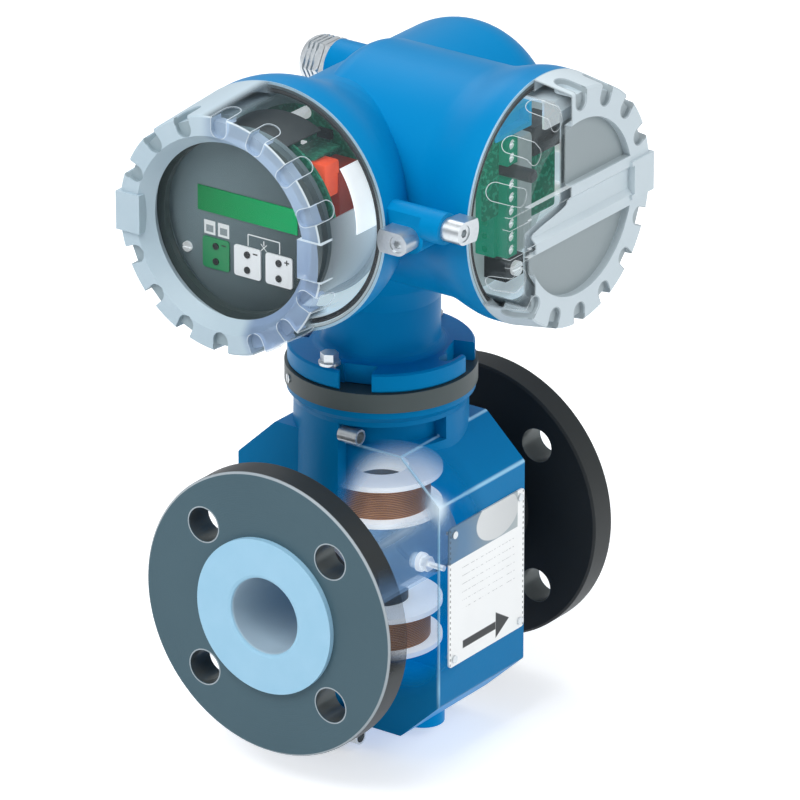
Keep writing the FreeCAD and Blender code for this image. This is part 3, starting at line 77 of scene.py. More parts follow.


# ---- Liner and measuring tube ----
# The liner is one pale moulding, flared over both flange faces.  The steel tube round it
# turns to a faint blue where the housing is shown see-through, so the electrodes show;
# there it glows, a painted light that lifts it in the housing's shade.

class Value:
    """A shader socket with arithmetic: each operator adds one Math node."""

    def __init__(self, finish, socket):
        self.finish = finish
        self.socket = socket

    def math(self, operation, *others):
        return self.finish.node("ShaderNodeMath", {"operation": operation},
                                dict(enumerate((self,) + others)))

    def __add__(self, other):
        return self.math("ADD", other)

    __radd__ = __add__

    def __mul__(self, other):
        return self.math("MULTIPLY", other)

    __rmul__ = __mul__

    def __sub__(self, other):
        return self.math("SUBTRACT", other)

    def __rsub__(self, other):
        return self * -1.0 + other

    def __truediv__(self, other):
        return self.math("DIVIDE", other)

    def __abs__(self):
        return self.math("ABSOLUTE")

    def at_most(self, other):
        return self.math("MINIMUM", other)

    def at_least(self, other):
        return self.math("MAXIMUM", other)

    def wrap(self, low, high):
        return self.math("WRAP", high, low)

    def above(self, edge, soft):
        """Smooth step from 0 to 1 as the value passes the edge."""
        return self.finish.node("ShaderNodeMapRange", {"interpolation_type": "SMOOTHSTEP"},
                                {0: self, 1: edge - soft, 2: edge + soft, 3: 0.0, 4: 1.0})

    def below(self, edge, soft):
        return 1.0 - self.above(edge, soft)

    def near(self, centre, half, soft):
        """1 within half of the centre, falling to 0 over soft."""
        return abs(self - centre).below(half, soft)


def length(*values):
    """Square root of the sum of squares."""
    total = values[0] * values[0]
    for value in values[1:]:
        total = total + value * value
    return total.math("SQRT")


class Finish:
    """One node material, built round a single Principled shader."""

    def __init__(self, name):
        self.material = bpy.data.materials.new(name)
        self.material.use_nodes = True
        self.tree = self.material.node_tree
        self.shader = self.tree.nodes["Principled BSDF"]
        self.position = self.node("ShaderNodeTexCoord", output="Object")
        parts = self.tree.nodes.new("ShaderNodeSeparateXYZ")
        self.tree.links.new(self.position.socket, parts.inputs[0])
        self.x, self.y, self.z = (Value(self, parts.outputs[i]) for i in range(3))

    def node(self, kind, settings={}, inputs={}, output=0):
        """Adds a node: its settings first, then the values or links of its sockets."""
        made = self.tree.nodes.new(kind)
        for key, setting in settings.items():
            setattr(made, key, setting)
        for key, given in inputs.items():
            if isinstance(given, Value):
                self.tree.links.new(given.socket, made.inputs[key])
            else:
                made.inputs[key].default_value = given
        return Value(self, made.outputs[output])

    def noise(self, scale, detail=3.0, stretch=None):
        where = self.position
        if stretch:
            where = self.node("ShaderNodeMapping", {}, {"Vector": where, "Scale": stretch})
        return self.node("ShaderNodeTexNoise", {}, {"Vector": where, "Scale": scale, "Detail": detail})

    def mix(self, factor, first, second):
        """Colour between two colours or colour sockets."""
        made = self.tree.nodes.new("ShaderNodeMix")
        made.data_type = "RGBA"
        for key, given in ((0, factor), (6, first), (7, second)):
            if isinstance(given, Value):
                self.tree.links.new(given.socket, made.inputs[key])
            else:
                made.inputs[key].default_value = given if key == 0 else (*given, 1.0)
        return Value(self, made.outputs[2])

    def bump(self, height, distance):
        return self.node("ShaderNodeBump", {}, {"Height": height, "Distance": distance, "Strength": 1.0})

    def shade(self, **sockets):
        """Sets or links the shader's sockets, with _ for a space in their names."""
        for key, given in sockets.items():
            socket = self.shader.inputs[key.replace("_", " ")]
            if isinstance(given, Value):
                self.tree.links.new(given.socket, socket)
            elif socket.type == "RGBA":
                socket.default_value = (*given, 1.0)
            else:
                socket.default_value = given
        return self.material


def dress(material, *names):
    """Gives a material to CAD nodes."""
    for name in names:
        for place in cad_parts[name].material_slots:
            place.material = material


def corners(node):
    """Lowest and highest corner of a CAD node, as two numpy rows."""
    low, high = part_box(node)
    return np.array(low), np.array(high)


BORE_R = 0.020
HALF_LENGTH = 0.037         # of the housing, along the pipe
HOUSING_SKIN = 0.002        # depth at which a point counts as inside the housing
UNLIT = (0.0, 0.0, 0.0)


def inside_housing(f):
    """1 between the two end walls of the housing."""
    return abs(f.x).below(HALF_LENGTH - HOUSING_SKIN, 0.001)


def liner_finish():
    f = Finish("pale moulded liner")
    cloud = f.noise(60.0)
    tone = f.mix(cloud, (0.29, 0.54, 0.71), (0.36, 0.60, 0.77))
    bore = length(f.y, f.z).below(BORE_R + 0.0002, 0.0003)
    tone = f.mix(bore, tone, (0.42, 0.53, 0.61))
    inside = inside_housing(f)
    return f.shade(Base_Color=tone, Roughness=cloud * 0.1 + 0.40 - bore * 0.15, Specular_IOR_Level=0.3,
                   Alpha=1.0 - inside * 0.82, Normal=f.bump(f.noise(900.0), 0.00004))


def tube_finish():
    f = Finish("steel measuring tube")
    grain = f.noise(500.0, 4.0, (0.08, 1.0, 1.0))
    inside = inside_housing(f)
    tone = f.mix(inside, (0.50, 0.52, 0.54), (0.30, 0.52, 0.80))
    # Inside the housing the tube glows blue: painted light, not a lamp.
    return f.shade(Base_Color=tone, Metallic=1.0 - inside, Roughness=grain * 0.2 + 0.25,
                   Emission_Color=f.mix(inside, UNLIT, (0.30, 0.50, 0.76)), Emission_Strength=0.5,
                   Alpha=1.0 - inside * 0.80, Normal=f.bump(grain, 0.00003))


dress(liner_finish(), "liner")
dress(tube_finish(), "measuring_tube")


# ---- Flanges ----
# Two turned weld-neck flanges.  The sealing face keeps a grey phosphate bloom with fine
# turning marks; the rest is painted black, with painted highlights along the outer corner
# and round the bolt holes, and the rim is shown see-through beside the lower coil.

FACE_X = float(corners("measuring_tube")[1][0])
FLANGE_R = float(corners("inlet_flange")[1][1])
BOLT_OFFSET = 0.0389        # of each bolt hole, sideways and up from the pipe axis
BOLT_HOLE_R = 0.009
CORNER = 0.0011             # width of the corner, lightened as a painted highlight
GONE_Y, GONE_Z = -0.048, 0.012      # the rim is see-through past this Y, about this height


def flange_finish():
    f = Finish("black flange paint")
    radius = length(f.y, f.z)
    cloud = f.noise(14.0, 4.0)
    grain = f.noise(260.0, 2.0)
    face = abs(f.x).above(FACE_X - 0.0006, 0.0003)
    bolt = length(abs(f.y) - BOLT_OFFSET, abs(f.z) - BOLT_OFFSET)
    hole = bolt.below(BOLT_HOLE_R + 0.0002, 0.0002) * (1.0 - face)
    grey = f.mix(cloud, (0.052, 0.100, 0.126), (0.074, 0.130, 0.158))
    black = f.mix(cloud, (0.010, 0.012, 0.014), (0.022, 0.026, 0.029))
    skirt = radius.above(FLANGE_R - 0.0003, 0.0001)
    tone = f.mix(face, black, grey)
    tone = f.mix(skirt, tone, f.mix(cloud, (0.016, 0.021, 0.024), (0.040, 0.043, 0.042)))
    tone = f.mix(hole, tone, (0.115, 0.130, 0.130))
    corner = radius.above(FLANGE_R - CORNER, 0.0002) * abs(f.x).above(FACE_X - CORNER, 0.0002)
    # The outer corner and a ring round each bolt hole are lightened: a painted highlight.
    painted_edge_highlight = corner.at_least(bolt.near(BOLT_HOLE_R + 0.0004, 0.0003, 0.0001) * face)
    tone = f.mix(painted_edge_highlight * 0.85, tone, (0.42, 0.47, 0.50))
    gone = f.y.below(GONE_Y, 0.004) * f.z.near(GONE_Z, 0.022, 0.008) * f.x.below(0.0, 0.001)
    gone = gone * (1.0 - face) * (1.0 - corner * 0.9)
    rings = (radius * 5200.0).math("SINE")
    height = f.mix(face, grain, rings * 0.5 + 0.5)
    return f.shade(Base_Color=tone, Metallic=hole * 0.5, Roughness=cloud * 0.14 + 0.36 - hole * 0.1,
                   Specular_IOR_Level=0.18, Alpha=1.0 - gone * 0.8, Normal=f.bump(height, 0.00002))


dress(flange_finish(), "inlet_flange", "outlet_flange")


# ---- Electrodes ----
# Two steel electrodes with flat heads in the liner, each in a white insulating bush and
# held by a nut on the outside of the tube.

def bright_steel(name, dark, light, glow):
    """Turned steel; glow is a painted light that lifts the small parts standing in a closed, see-through
    space.
    """
    f = Finish(name)
    grain = f.noise(700.0, 3.0)
    tone = f.mix(grain, dark, light)
    return f.shade(Base_Color=tone, Metallic=0.9, Roughness=grain * 0.16 + 0.24, Emission_Color=tone,
                   Emission_Strength=glow, Normal=f.bump(grain, 0.00002))


def moulding(name, dark, light, roughness, glow=0.0):
    """Satin moulded part, a little cloudy, with a fine skin; glow is a painted light, an emission in the
    part's own colour.
    """
    f = Finish(name)
    cloud = f.noise(120.0)
    tone = f.mix(cloud, dark, light)
    return f.shade(Base_Color=tone, Roughness=cloud * 0.1 + roughness, Specular_IOR_Level=0.35,
                   Emission_Color=tone, Emission_Strength=glow, Normal=f.bump(f.noise(1300.0), 0.00002))


# Both of these glow: painted light that lifts the electrodes, bobbins and other small parts in the shaded,
# see-through spaces.
INNER_STEEL = bright_steel("bright steel, inside", (0.58, 0.62, 0.64), (0.76, 0.79, 0.80), 0.55)
WHITE = moulding("white moulding", (0.74, 0.79, 0.82), (0.86, 0.90, 0.92), 0.38, 0.55)
dress(INNER_STEEL, "electrodes", "electrode_nuts")
dress(WHITE, "electrode_bushes")


# ---- Field coils ----
# Enamelled copper wire wound in even layers on white bobbins, one above and one below the
# tube, round soft iron cores.  Wire and bobbins glow faintly: painted light in the housing's shade.

WIRE_PITCH = 0.00095


def copper_winding():
    f = Finish("enamelled copper wire")
    turn = (f.z * (2 * math.pi / WIRE_PITCH)).math("SINE") * 0.5 + 0.5
    angle = f.y.math("ARCTAN2", f.x)
    drift = f.noise(40.0, 2.0)
    tone = f.mix(turn, (0.075, 0.030, 0.014), (0.50, 0.255, 0.120))
    tone = f.mix(drift * 0.4, tone, (0.30, 0.135, 0.060))
    shimmer = (angle * 3.0).math("SINE") * 0.06
    # The winding glows: painted light.
    return f.shade(Base_Color=tone, Metallic=0.45, Roughness=shimmer + 0.36, Emission_Color=tone,
                   Emission_Strength=0.28, Normal=f.bump(turn, 0.0002))


dress(copper_winding(), "upper_coil_winding", "lower_coil_winding")
dress(WHITE, "upper_coil_bobbin", "lower_coil_bobbin")
SOFT_IRON = moulding("soft iron", (0.060, 0.064, 0.068), (0.100, 0.105, 0.110), 0.35)
dress(SOFT_IRON, "upper_pole_core", "lower_pole_core")


# ---- Sensor housing ----
# A blue-painted cast box with cut shoulders and the round neck for the transmitter.  Its
# front edge is shown see-through round the coils, with painted highlight lines on its edges,
# a painted glare at the shoulder corner, a painted beam of light on the inlet wall and a
# faint painted glow on its inner walls.

TOP, SHOULDER, FLAT_HALF = 0.074, 0.052, 0.0385
HALF_WIDTH = float(corners("sensor_housing")[1][1])
SHOULDER_NORMAL = (0.683, 0.730)    # across and up, out of the cut shoulder
BEAM_NORMAL = (0.64, 0.768)         # the same, of the light falling on the inlet wall
GHOST_CENTRE = (-HALF_LENGTH, -0.037, 0.013)
GHOST_REACH = (0.052, 0.043, 0.068)
GHOST_LEAST = 0.05
BLUE_TINT = (0.10, 0.62, 1.0)


def edge_line(first, second, half=0.0010, soft=0.0007):
    """1 along an edge: within half of the place where both distances are nought."""
    return length(first, second).below(half, soft)


def housing_highlight_lines(f, shoulder):
    """Painted highlight lines on the edges of the housing that face the plate side."""
    front, across = f.x + HALF_LENGTH, abs(f.y)
    upright = edge_line(front, f.y + HALF_WIDTH) * f.z.above(-0.055, 0.010) * f.z.below(SHOULDER, 0.001)
    level = edge_line(f.z - SHOULDER, across - HALF_WIDTH)
    slant = abs(shoulder).below(0.0009, 0.0006) * abs(front).below(0.0012, 0.0006)
    slant = slant * across.above(FLAT_HALF, 0.001)
    top = edge_line(f.z - TOP, across - FLAT_HALF, 0.0009, 0.0006)
    brow = edge_line(f.z - TOP, front, 0.0009, 0.0006) * across.below(FLAT_HALF, 0.001)
    return upright.at_least(level).at_least(slant).at_least(top).at_least(brow) * f.y.below(0.0, 0.005)


def see_through(f):
    """Alpha that falls to its least in a soft egg round the front edge of the housing."""
    egg = length(*((part - centre) / reach
                   for part, centre, reach in zip((f.x, f.y, f.z), GHOST_CENTRE, GHOST_REACH)))
    return egg.above(0.92, 0.16) * (1.0 - GHOST_LEAST) + GHOST_LEAST


def housing_finish():
    """Sprayed blue enamel: slight orange peel, see-through at the front edge with painted highlight lines, a
    painted glare and beam, and a faint painted glow inside.
    """
    f = Finish("blue enamel, sensor")
    peel = f.noise(420.0, 2.0)
    cloud = f.noise(9.0, 3.0)
    shoulder = (abs(f.y) - FLAT_HALF) * SHOULDER_NORMAL[0] + (f.z - TOP) * SHOULDER_NORMAL[1]
    highlight_line = housing_highlight_lines(f, shoulder)
    # A pale spot at the shoulder corner and a pale band across the inlet wall: painted glare and a painted
    # beam of light.
    glow = length((f.x + HALF_LENGTH) / 0.013, (f.y + HALF_WIDTH) / 0.013, (f.z - SHOULDER) / 0.015)
    glow = glow.below(0.6, 0.6)
    beam = abs((f.y + HALF_WIDTH) * BEAM_NORMAL[0] + (f.z - SHOULDER) * BEAM_NORMAL[1]).below(0.0035, 0.0055)
    beam = beam * f.x.below(0.001 - HALF_LENGTH, 0.0005) * f.z.near(0.030, 0.014, 0.010)
    tone = f.mix(cloud, (0.000, 0.150, 0.365), (0.000, 0.185, 0.430))
    tone = f.mix(highlight_line * 0.75, tone, (0.42, 0.74, 0.94))
    tone = f.mix(glow.at_least(beam), tone, (0.80, 0.93, 1.0))
    alpha = see_through(f).at_least(highlight_line * 0.7).at_least(glow * 0.9).at_least(beam * 0.5)
    # The inner walls glow faint blue: painted light in the housing's shade.
    inner = abs(f.x).below(HALF_LENGTH - HOUSING_SKIN, 0.0005) * shoulder.below(-HOUSING_SKIN, 0.0005)
    inner = inner * abs(f.y).below(HALF_WIDTH - HOUSING_SKIN, 0.0005) * f.z.below(TOP - HOUSING_SKIN, 0.0005)
    return f.shade(Base_Color=tone, Roughness=cloud * 0.08 + 0.36, Specular_IOR_Level=0.16,
                   Specular_Tint=BLUE_TINT, Alpha=alpha, Normal=f.bump(peel, 0.00004),
                   Emission_Color=f.mix(inner, UNLIT, (0.000, 0.080, 0.200)), Emission_Strength=1.0)


dress(housing_finish(), "sensor_housing")


# ---- Earth terminals and small screws ----
# Bright turned terminals with a socket in the end, and zinc-plated screws.

STEEL = bright_steel("bright turned steel", (0.54, 0.58, 0.60), (0.70, 0.73, 0.75), 0.0)
dress(STEEL, "earth_terminals", "ring_set_screw", "head_clamp_screws", "rating_plate_rivets")


# ---- Rating plate ----
# A white plate with plain ruled fields, a grey field at its head and a printed flow
# arrow.  It carries no words.

plate_low, plate_high = corners("rating_plate")
PLATE_LEFT, PLATE_FOOT = float(plate_low[0]), float(plate_low[2])
PLATE_WIDTH, PLATE_HEIGHT = (float(v) for v in (plate_high - plate_low)[[0, 2]])


def plate_finish():
    """Print on the plate, measured in shares of its width from the left and of its height."""
    f = Finish("printed rating plate")
    across = (f.x - PLATE_LEFT) / PLATE_WIDTH
    rise = (f.z - PLATE_FOOT) / PLATE_HEIGHT
    tone = f.mix(f.noise(30.0), (0.90, 0.91, 0.90), (0.96, 0.97, 0.96))
    head = rise.above(0.745, 0.004) * across.below(0.91, 0.004)
    lens = length((across - 0.64) / 0.28, (rise - 0.90) / 0.15).below(1.0, 0.02) * head
    fade = ((across - 0.2) * 1.4).at_least(0.0).at_most(1.0)
    tone = f.mix(head, tone, f.mix(fade, (0.16, 0.27, 0.38), (0.42, 0.47, 0.48)))
    # The pale oval in the head field darkens to the right: painted shade.
    tone = f.mix(lens, tone, f.mix(fade, (0.74, 0.76, 0.76), (0.60, 0.62, 0.62)))
    rule = (rise * 17.0).wrap(0.0, 1.0).near(0.5, 0.035, 0.02)
    ragged = f.noise(700.0, 1.0, (1.0, 1.0, 0.05)).above(0.50, 0.06)
    fields = rise.above(0.34, 0.004) * rise.below(0.73, 0.004) * across.near(0.53, 0.36, 0.004)
    tone = f.mix(rule * ragged * fields * 0.55, tone, (0.10, 0.11, 0.12))
    shaft = rise.near(0.12, 0.028, 0.004) * across.near(0.40, 0.22, 0.006)
    tip = ((0.80 - across) * 0.52 - abs(rise - 0.12)).above(0.0, 0.004) * across.above(0.62, 0.004)
    tone = f.mix(shaft.at_least(tip), tone, (0.030, 0.034, 0.036))
    dots = (rise * 26.0).wrap(0.0, 1.0).near(0.5, 0.22, 0.08)
    dots = dots * abs(across - 0.5).near(0.485, 0.006, 0.004)
    tone = f.mix(dots * 0.8, tone, (0.05, 0.05, 0.05))
    thin = head * (1.0 - lens) * (0.35 - across * 0.5).at_least(0.0)
    return f.shade(Base_Color=tone, Roughness=0.42, Specular_IOR_Level=0.3, Alpha=1.0 - thin)


dress(plate_finish(), "rating_plate")


# ---- Neck ring ----
# Dark olive-grey painted ring between the neck and the transmitter, with its rubber seal.

def ring_paint():
    f = Finish("olive grey ring paint")
    cloud = f.noise(40.0)
    tone = f.mix(cloud, (0.030, 0.048, 0.050), (0.050, 0.070, 0.068))
    return f.shade(Base_Color=tone, Roughness=cloud * 0.1 + 0.42, Normal=f.bump(f.noise(800.0), 0.00003))


def black_rubber():
    f = Finish("black rubber")
    cloud = f.noise(200.0)
    tone = f.mix(cloud, (0.012, 0.012, 0.013), (0.024, 0.024, 0.025))
    return f.shade(Base_Color=tone, Roughness=cloud * 0.1 + 0.6, Normal=f.bump(cloud, 0.00003))


dress(ring_paint(), "neck_ring", "glass_retaining_ring")
dress(black_rubber(), "neck_seal", "gland_seal", "display_cover_seal", "terminal_cover_seal")


# ---- Transmitter housing ----
# One blue-painted casting of two crossed barrels on a column.  The bores and the threaded
# mouths are bare machined metal, and the rims are machined bright at the edge.  The lower
# part of each bore glows pale: a painted reflection.

cover_low, cover_high = corners("display_cover")
HEAD_Z = float(cover_low[2] + cover_high[2]) / 2
RIM_R, RIM_BAND, WALL_MARGIN = 0.064, 0.007, 0.0018
DISPLAY_RIM, DISPLAY_BODY_R, DISPLAY_FLARE = 0.085, 0.050, 0.046
DISPLAY_FLOOR, TERMINAL_FLOOR = -0.0455, -0.0595    # X and Y at which the two bores end
TERMINAL_RIM, TERMINAL_BODY_R, TERMINAL_FLARE = 0.097, 0.0585, 0.028
RIM_EDGE = 0.0014


def wall_radius(depth, body, flare):
    """Middle of a barrel's wall at a depth behind its rim: a half cosine from rim to body."""
    swing = ((depth - RIM_BAND) * (math.pi / flare)).at_least(0.0).at_most(math.pi).math("COSINE")
    return swing * ((RIM_R - body) / 2) + (RIM_R + body) / 2 - WALL_MARGIN


def transmitter_finish():
    """Blue enamel outside, pale metal in the bores, dark seats and light edges on the rims, and a painted
    reflection glowing in the lower bores.
    """
    f = Finish("blue enamel, transmitter")
    peel = f.noise(420.0, 2.0)
    cloud = f.noise(9.0, 3.0)
    blue = f.mix(cloud, (0.000, 0.185, 0.440), (0.000, 0.225, 0.505))
    rise = f.z - HEAD_Z
    display_r, terminal_r = length(f.y, rise), length(f.x, rise)
    display_wall = wall_radius(f.x + DISPLAY_RIM, DISPLAY_BODY_R, DISPLAY_FLARE)
    terminal_wall = wall_radius(f.y + TERMINAL_RIM, TERMINAL_BODY_R, TERMINAL_FLARE)
    display_bore = (display_wall - display_r).above(0.0, 0.0001) * f.x.below(DISPLAY_FLOOR, 0.0002)
    terminal_bore = (terminal_wall - terminal_r).above(0.0, 0.0001) * f.y.below(TERMINAL_FLOOR, 0.0002)
    display_rim = f.x.below(-DISPLAY_RIM + 0.0002, 0.0001)
    terminal_rim = f.y.below(-TERMINAL_RIM + 0.0002, 0.0001)
    bare = display_bore.at_least(terminal_bore).at_least(display_rim).at_least(terminal_rim)
    sheen = f.noise(90.0, 2.0, (0.05, 1.0, 1.0))
    metal = f.mix(sheen, (0.60, 0.66, 0.70), (0.80, 0.85, 0.88))
    edge = display_r.above(RIM_R - RIM_EDGE, 0.0003) * display_rim
    edge = edge.at_least(terminal_r.above(RIM_R - RIM_EDGE, 0.0003) * terminal_rim)
    seat = display_rim.at_least(terminal_rim) * (1.0 - edge)
    metal = f.mix(seat, metal, (0.10, 0.13, 0.14))
    metal = f.mix(edge, metal, (0.45, 0.66, 0.80))
    tone = f.mix(bare, blue, metal)
    # The lower part of each bore glows pale: a painted reflection, not a lamp.
    bore_painted_reflection = display_bore * rise.below(0.012, 0.018) * 0.42
    bore_painted_reflection = bore_painted_reflection.at_least(terminal_bore * rise.below(0.030, 0.030) * 0.36)
    return f.shade(Base_Color=tone, Metallic=bare * 0.25, Roughness=cloud * 0.08 + 0.36 - bare * 0.08,
                   Specular_IOR_Level=0.16, Specular_Tint=BLUE_TINT,
                   Emission_Color=f.mix(bore_painted_reflection, UNLIT, (0.74, 0.86, 0.92)), Emission_Strength=1.0,
                   Normal=f.bump(peel, 0.00004))


dress(transmitter_finish(), "transmitter_housing", "transmitter_column")


# ---- Cable gland and plug ----
# Nickel-plated brass, turned from hexagon bar.

dress(STEEL, "gland_body", "gland_nut", "entry_plug")


# ---- Electronics module ----
# Two green boards and a dark front panel with a green display and three keys, on steel
# pillars behind the window.

def board_green(name, glow):
    """Green lacquer over patches of track; glow is a painted light, as in bright_steel."""
    f = Finish(name)
    track = f.noise(420.0, 1.0).above(0.56, 0.02)
    tone = f.mix(track, (0.008, 0.130, 0.075), (0.022, 0.225, 0.140))
    return f.shade(Base_Color=tone, Roughness=0.35, Coat_Weight=0.1, Specular_IOR_Level=0.3,
                   Emission_Color=tone, Emission_Strength=glow, Normal=f.bump(track, 0.00003))


KEY_RISE, KEY_PITCH = -0.021, 0.019
SIGN_RISE, SIGN_ACROSS = 0.0052, 0.0048     # of each key's sign, from the key's middle
THIN, LONG = 0.0004, 0.0014                 # half sizes of a sign's strokes
CRISP = 0.0001                              # softness of printed edges


def panel_finish():
    """Dark panel, painted lighter to the upper left, with a printed bracket over two keys and two page signs
    over the third.
    """
    f = Finish("dark display panel")
    across, rise = f.y * -1.0, f.z - HEAD_Z
    # Lighter to the upper left and darker to the lower right: painted light.
    sweep = (across * 9.0 - rise * 6.0 + 0.45).at_least(0.0).at_most(1.0)
    tone = f.mix(sweep, (0.200, 0.275, 0.300), (0.014, 0.024, 0.027))
    middle, cross_rise = across - KEY_PITCH / 2, rise + 0.0115
    bracket = rise.near(-0.0065, 0.0003, CRISP) * middle.near(0.0, KEY_PITCH / 2, CRISP)
    legs = abs(middle).near(KEY_PITCH / 2, 0.0003, CRISP) * rise.near(-0.0095, 0.003, CRISP)
    stem = middle.near(0.0, 0.0003, CRISP) * rise.near(-0.0092, 0.0012, CRISP)
    cross = abs(abs(middle) - abs(cross_rise)).below(0.0003, CRISP) * abs(cross_rise).below(0.0018, CRISP)
    page = abs(across + KEY_PITCH)
    pages = page.near(0.0042, 0.0034, CRISP) * rise.near(-0.0082, 0.0036, CRISP)
    inner = page.near(0.0042, 0.0022, CRISP) * rise.near(-0.0088, 0.0018, CRISP)
    print_white = bracket.at_least(legs).at_least(stem).at_least(cross)
    print_white = print_white.at_least(pages * (1.0 - inner * 0.8))
    tone = f.mix(print_white, tone, (0.80, 0.84, 0.84))
    return f.shade(Base_Color=tone, Roughness=0.36, Specular_IOR_Level=0.12)


def display_finish():
    """Lit green glass, brighter to the right, with a faint grid of cells and no characters."""
    f = Finish("green display glass")
    across = f.y * -1.0
    sweep = (across * 16.0 + 0.5).at_least(0.0).at_most(1.0)
    tone = f.mix(sweep, (0.004, 0.190, 0.050), (0.000, 0.330, 0.105))
    cell = (f.y * 420.0).wrap(0.0, 1.0).near(0.5, 0.42, 0.04)
    cell = cell * ((f.z - HEAD_Z) * 170.0).wrap(0.0, 1.0).near(0.5, 0.4, 0.04)
    tone = f.mix(cell * 0.10, tone, (0.0, 0.12, 0.05))
    return f.shade(Base_Color=tone, Roughness=0.28, Specular_IOR_Level=0.12, Emission_Color=tone,
                   Emission_Strength=0.25)


def key_finish():
    """One green and two white pads, marked minus, minus and plus."""
    f = Finish("key pads")
    across, rise = f.y * -1.0, f.z - HEAD_Z - KEY_RISE
    green = across.below(-KEY_PITCH / 2, 0.0002)
    tone = f.mix(green, (0.84, 0.88, 0.90), (0.010, 0.25, 0.085))
    level = rise.near(SIGN_RISE, THIN, CRISP)
    left_bar, middle_bar, right_bar = (level * across.near(key + SIGN_ACROSS, LONG, CRISP)
                                       for key in (-KEY_PITCH, 0.0, KEY_PITCH))
    upright = rise.near(SIGN_RISE, LONG, CRISP) * across.near(KEY_PITCH + SIGN_ACROSS, THIN, CRISP)
    printed = left_bar.at_least(middle_bar).at_least(right_bar).at_least(upright)
    tone = f.mix(printed, tone, (0.01, 0.012, 0.012))
    return f.shade(Base_Color=tone, Roughness=0.4)


# Where a finish here glows, the glow is painted light that lifts it inside the shaded cover.
GREEN = board_green("green circuit board", 0.05)
BLACK = moulding("black moulding", (0.008, 0.009, 0.010), (0.020, 0.021, 0.023), 0.36)
RED = moulding("red-orange moulding", (0.55, 0.045, 0.015), (0.75, 0.10, 0.03), 0.3, 0.5)
DARK_RED = moulding("dark red moulding", (0.20, 0.018, 0.010), (0.32, 0.035, 0.015), 0.3, 0.2)
dress(GREEN, "main_board", "display_board")
dress(panel_finish(), "display_panel")
dress(display_finish(), "display_module")
dress(key_finish(), "key_pads")
dress(BLACK, "key_sensors", "capacitors", "partition_bush")
dress(DARK_RED, "transformer")
dress(WHITE, "relay")
dress(INNER_STEEL, "module_pillars", "panel_screws")


# ---- Module can, ribbon and board parts ----
# The boards stand in a brushed sheet can that is open towards the plate side; the can's
# shading, soft bands and faint glow are painted light.  A dark bracket closes it at the top,
# a white, glowing strip built as a ribbon cable runs down the opening where a painted
# highlight falls, and small moulded parts are soldered to the main board.

SHARP_ANGLE = math.radians(35)


def skin(name, material, grids):
    """Mesh over grids of points[u, v], one quad between each four neighbours.

    Each grid closes on itself in v, and its first and last rows close with a face.
    """
    points, faces = [], []
    for grid in grids:
        rows, columns = grid.shape[:2]
        u = np.arange(rows - 1)[:, None]
        v = np.arange(columns)[None, :]
        after = (v + 1) % columns
        this, below = u * columns, (u + 1) * columns
        quads = np.stack([this + v, this + after, below + after, below + v], -1)
        start = sum(len(p) for p in points)
        faces += (quads.reshape(-1, 4) + start).tolist()
        faces += [(np.arange(columns) + start).tolist(),
                  (np.arange(columns) + start + (rows - 1) * columns).tolist()]
        points.append(grid.reshape(-1, 3))
    mesh = bpy.data.meshes.new(name)
    mesh.from_pydata(np.concatenate(points).tolist(), [], faces)
    form = bmesh.new()
    form.from_mesh(mesh)
    bmesh.ops.remove_doubles(form, verts=form.verts, dist=1e-7)
    bmesh.ops.recalc_face_normals(form, faces=form.faces)
    form.to_mesh(mesh)
    form.free()
    piece = bpy.data.objects.new(name, mesh)
    bpy.context.scene.collection.objects.link(piece)
    mesh.materials.append(material)
    mesh.set_sharp_from_angle(angle=SHARP_ANGLE)
    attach(piece, "transmitter")
    return piece


def hoop(start, stop, depths, radii, steps=48):
    """Sheet bent round the display axis from one angle to another.

    Its section is the rectangle of the two depths and the two radii, with cut corners; an
    angle is counted from the plate side up, and a point is (x, -r cos, r sin).
    """
    (x0, x1), (r0, r1) = depths, radii
    c = (r1 - r0) * 0.3
    section = np.array([(x0 + c, r0), (x1 - c, r0), (x1, r0 + c), (x1, r1 - c),
                        (x1 - c, r1), (x0 + c, r1), (x0, r1 - c), (x0, r0 + c)])
    angle = np.radians(np.linspace(start, stop, steps))[:, None]
    x, r = section[:, 0][None, :] + 0 * angle, section[:, 1][None, :]
    return np.stack([x, -r * np.cos(angle), HEAD_Z + r * np.sin(angle)], -1)


def block(low, high, corner=0.2, rows=9, columns=16):
    """Box with soft edges: a superellipsoid, the signed powers of a ball's sines and cosines."""
    low, high = np.array(low), np.array(high)

    def power(wave):
        return np.sign(wave) * np.abs(wave) ** corner

    v = np.linspace(-math.pi / 2, math.pi / 2, rows)[:, None]
    u = (np.arange(columns) + 0.5)[None, :] * 2 * math.pi / columns
    unit = np.stack([power(np.cos(v)) * power(np.cos(u)), power(np.cos(v)) * power(np.sin(u)),
                     power(np.sin(v)) + 0 * u], -1)
    return (low + high) / 2 + unit * (high - low) / 2


def on_board(across, up, width, height, tall):
    """Block on the front of the main board, by its middle as read from the display side, mm."""
    x = float(corners("main_board")[0][0])
    across, up, width, height, tall = (size / 1000 for size in (across, up, width, height, tall))
    return block((x - tall, -across - width / 2, HEAD_Z + up - height / 2),
                 (x, -across + width / 2, HEAD_Z + up + height / 2))


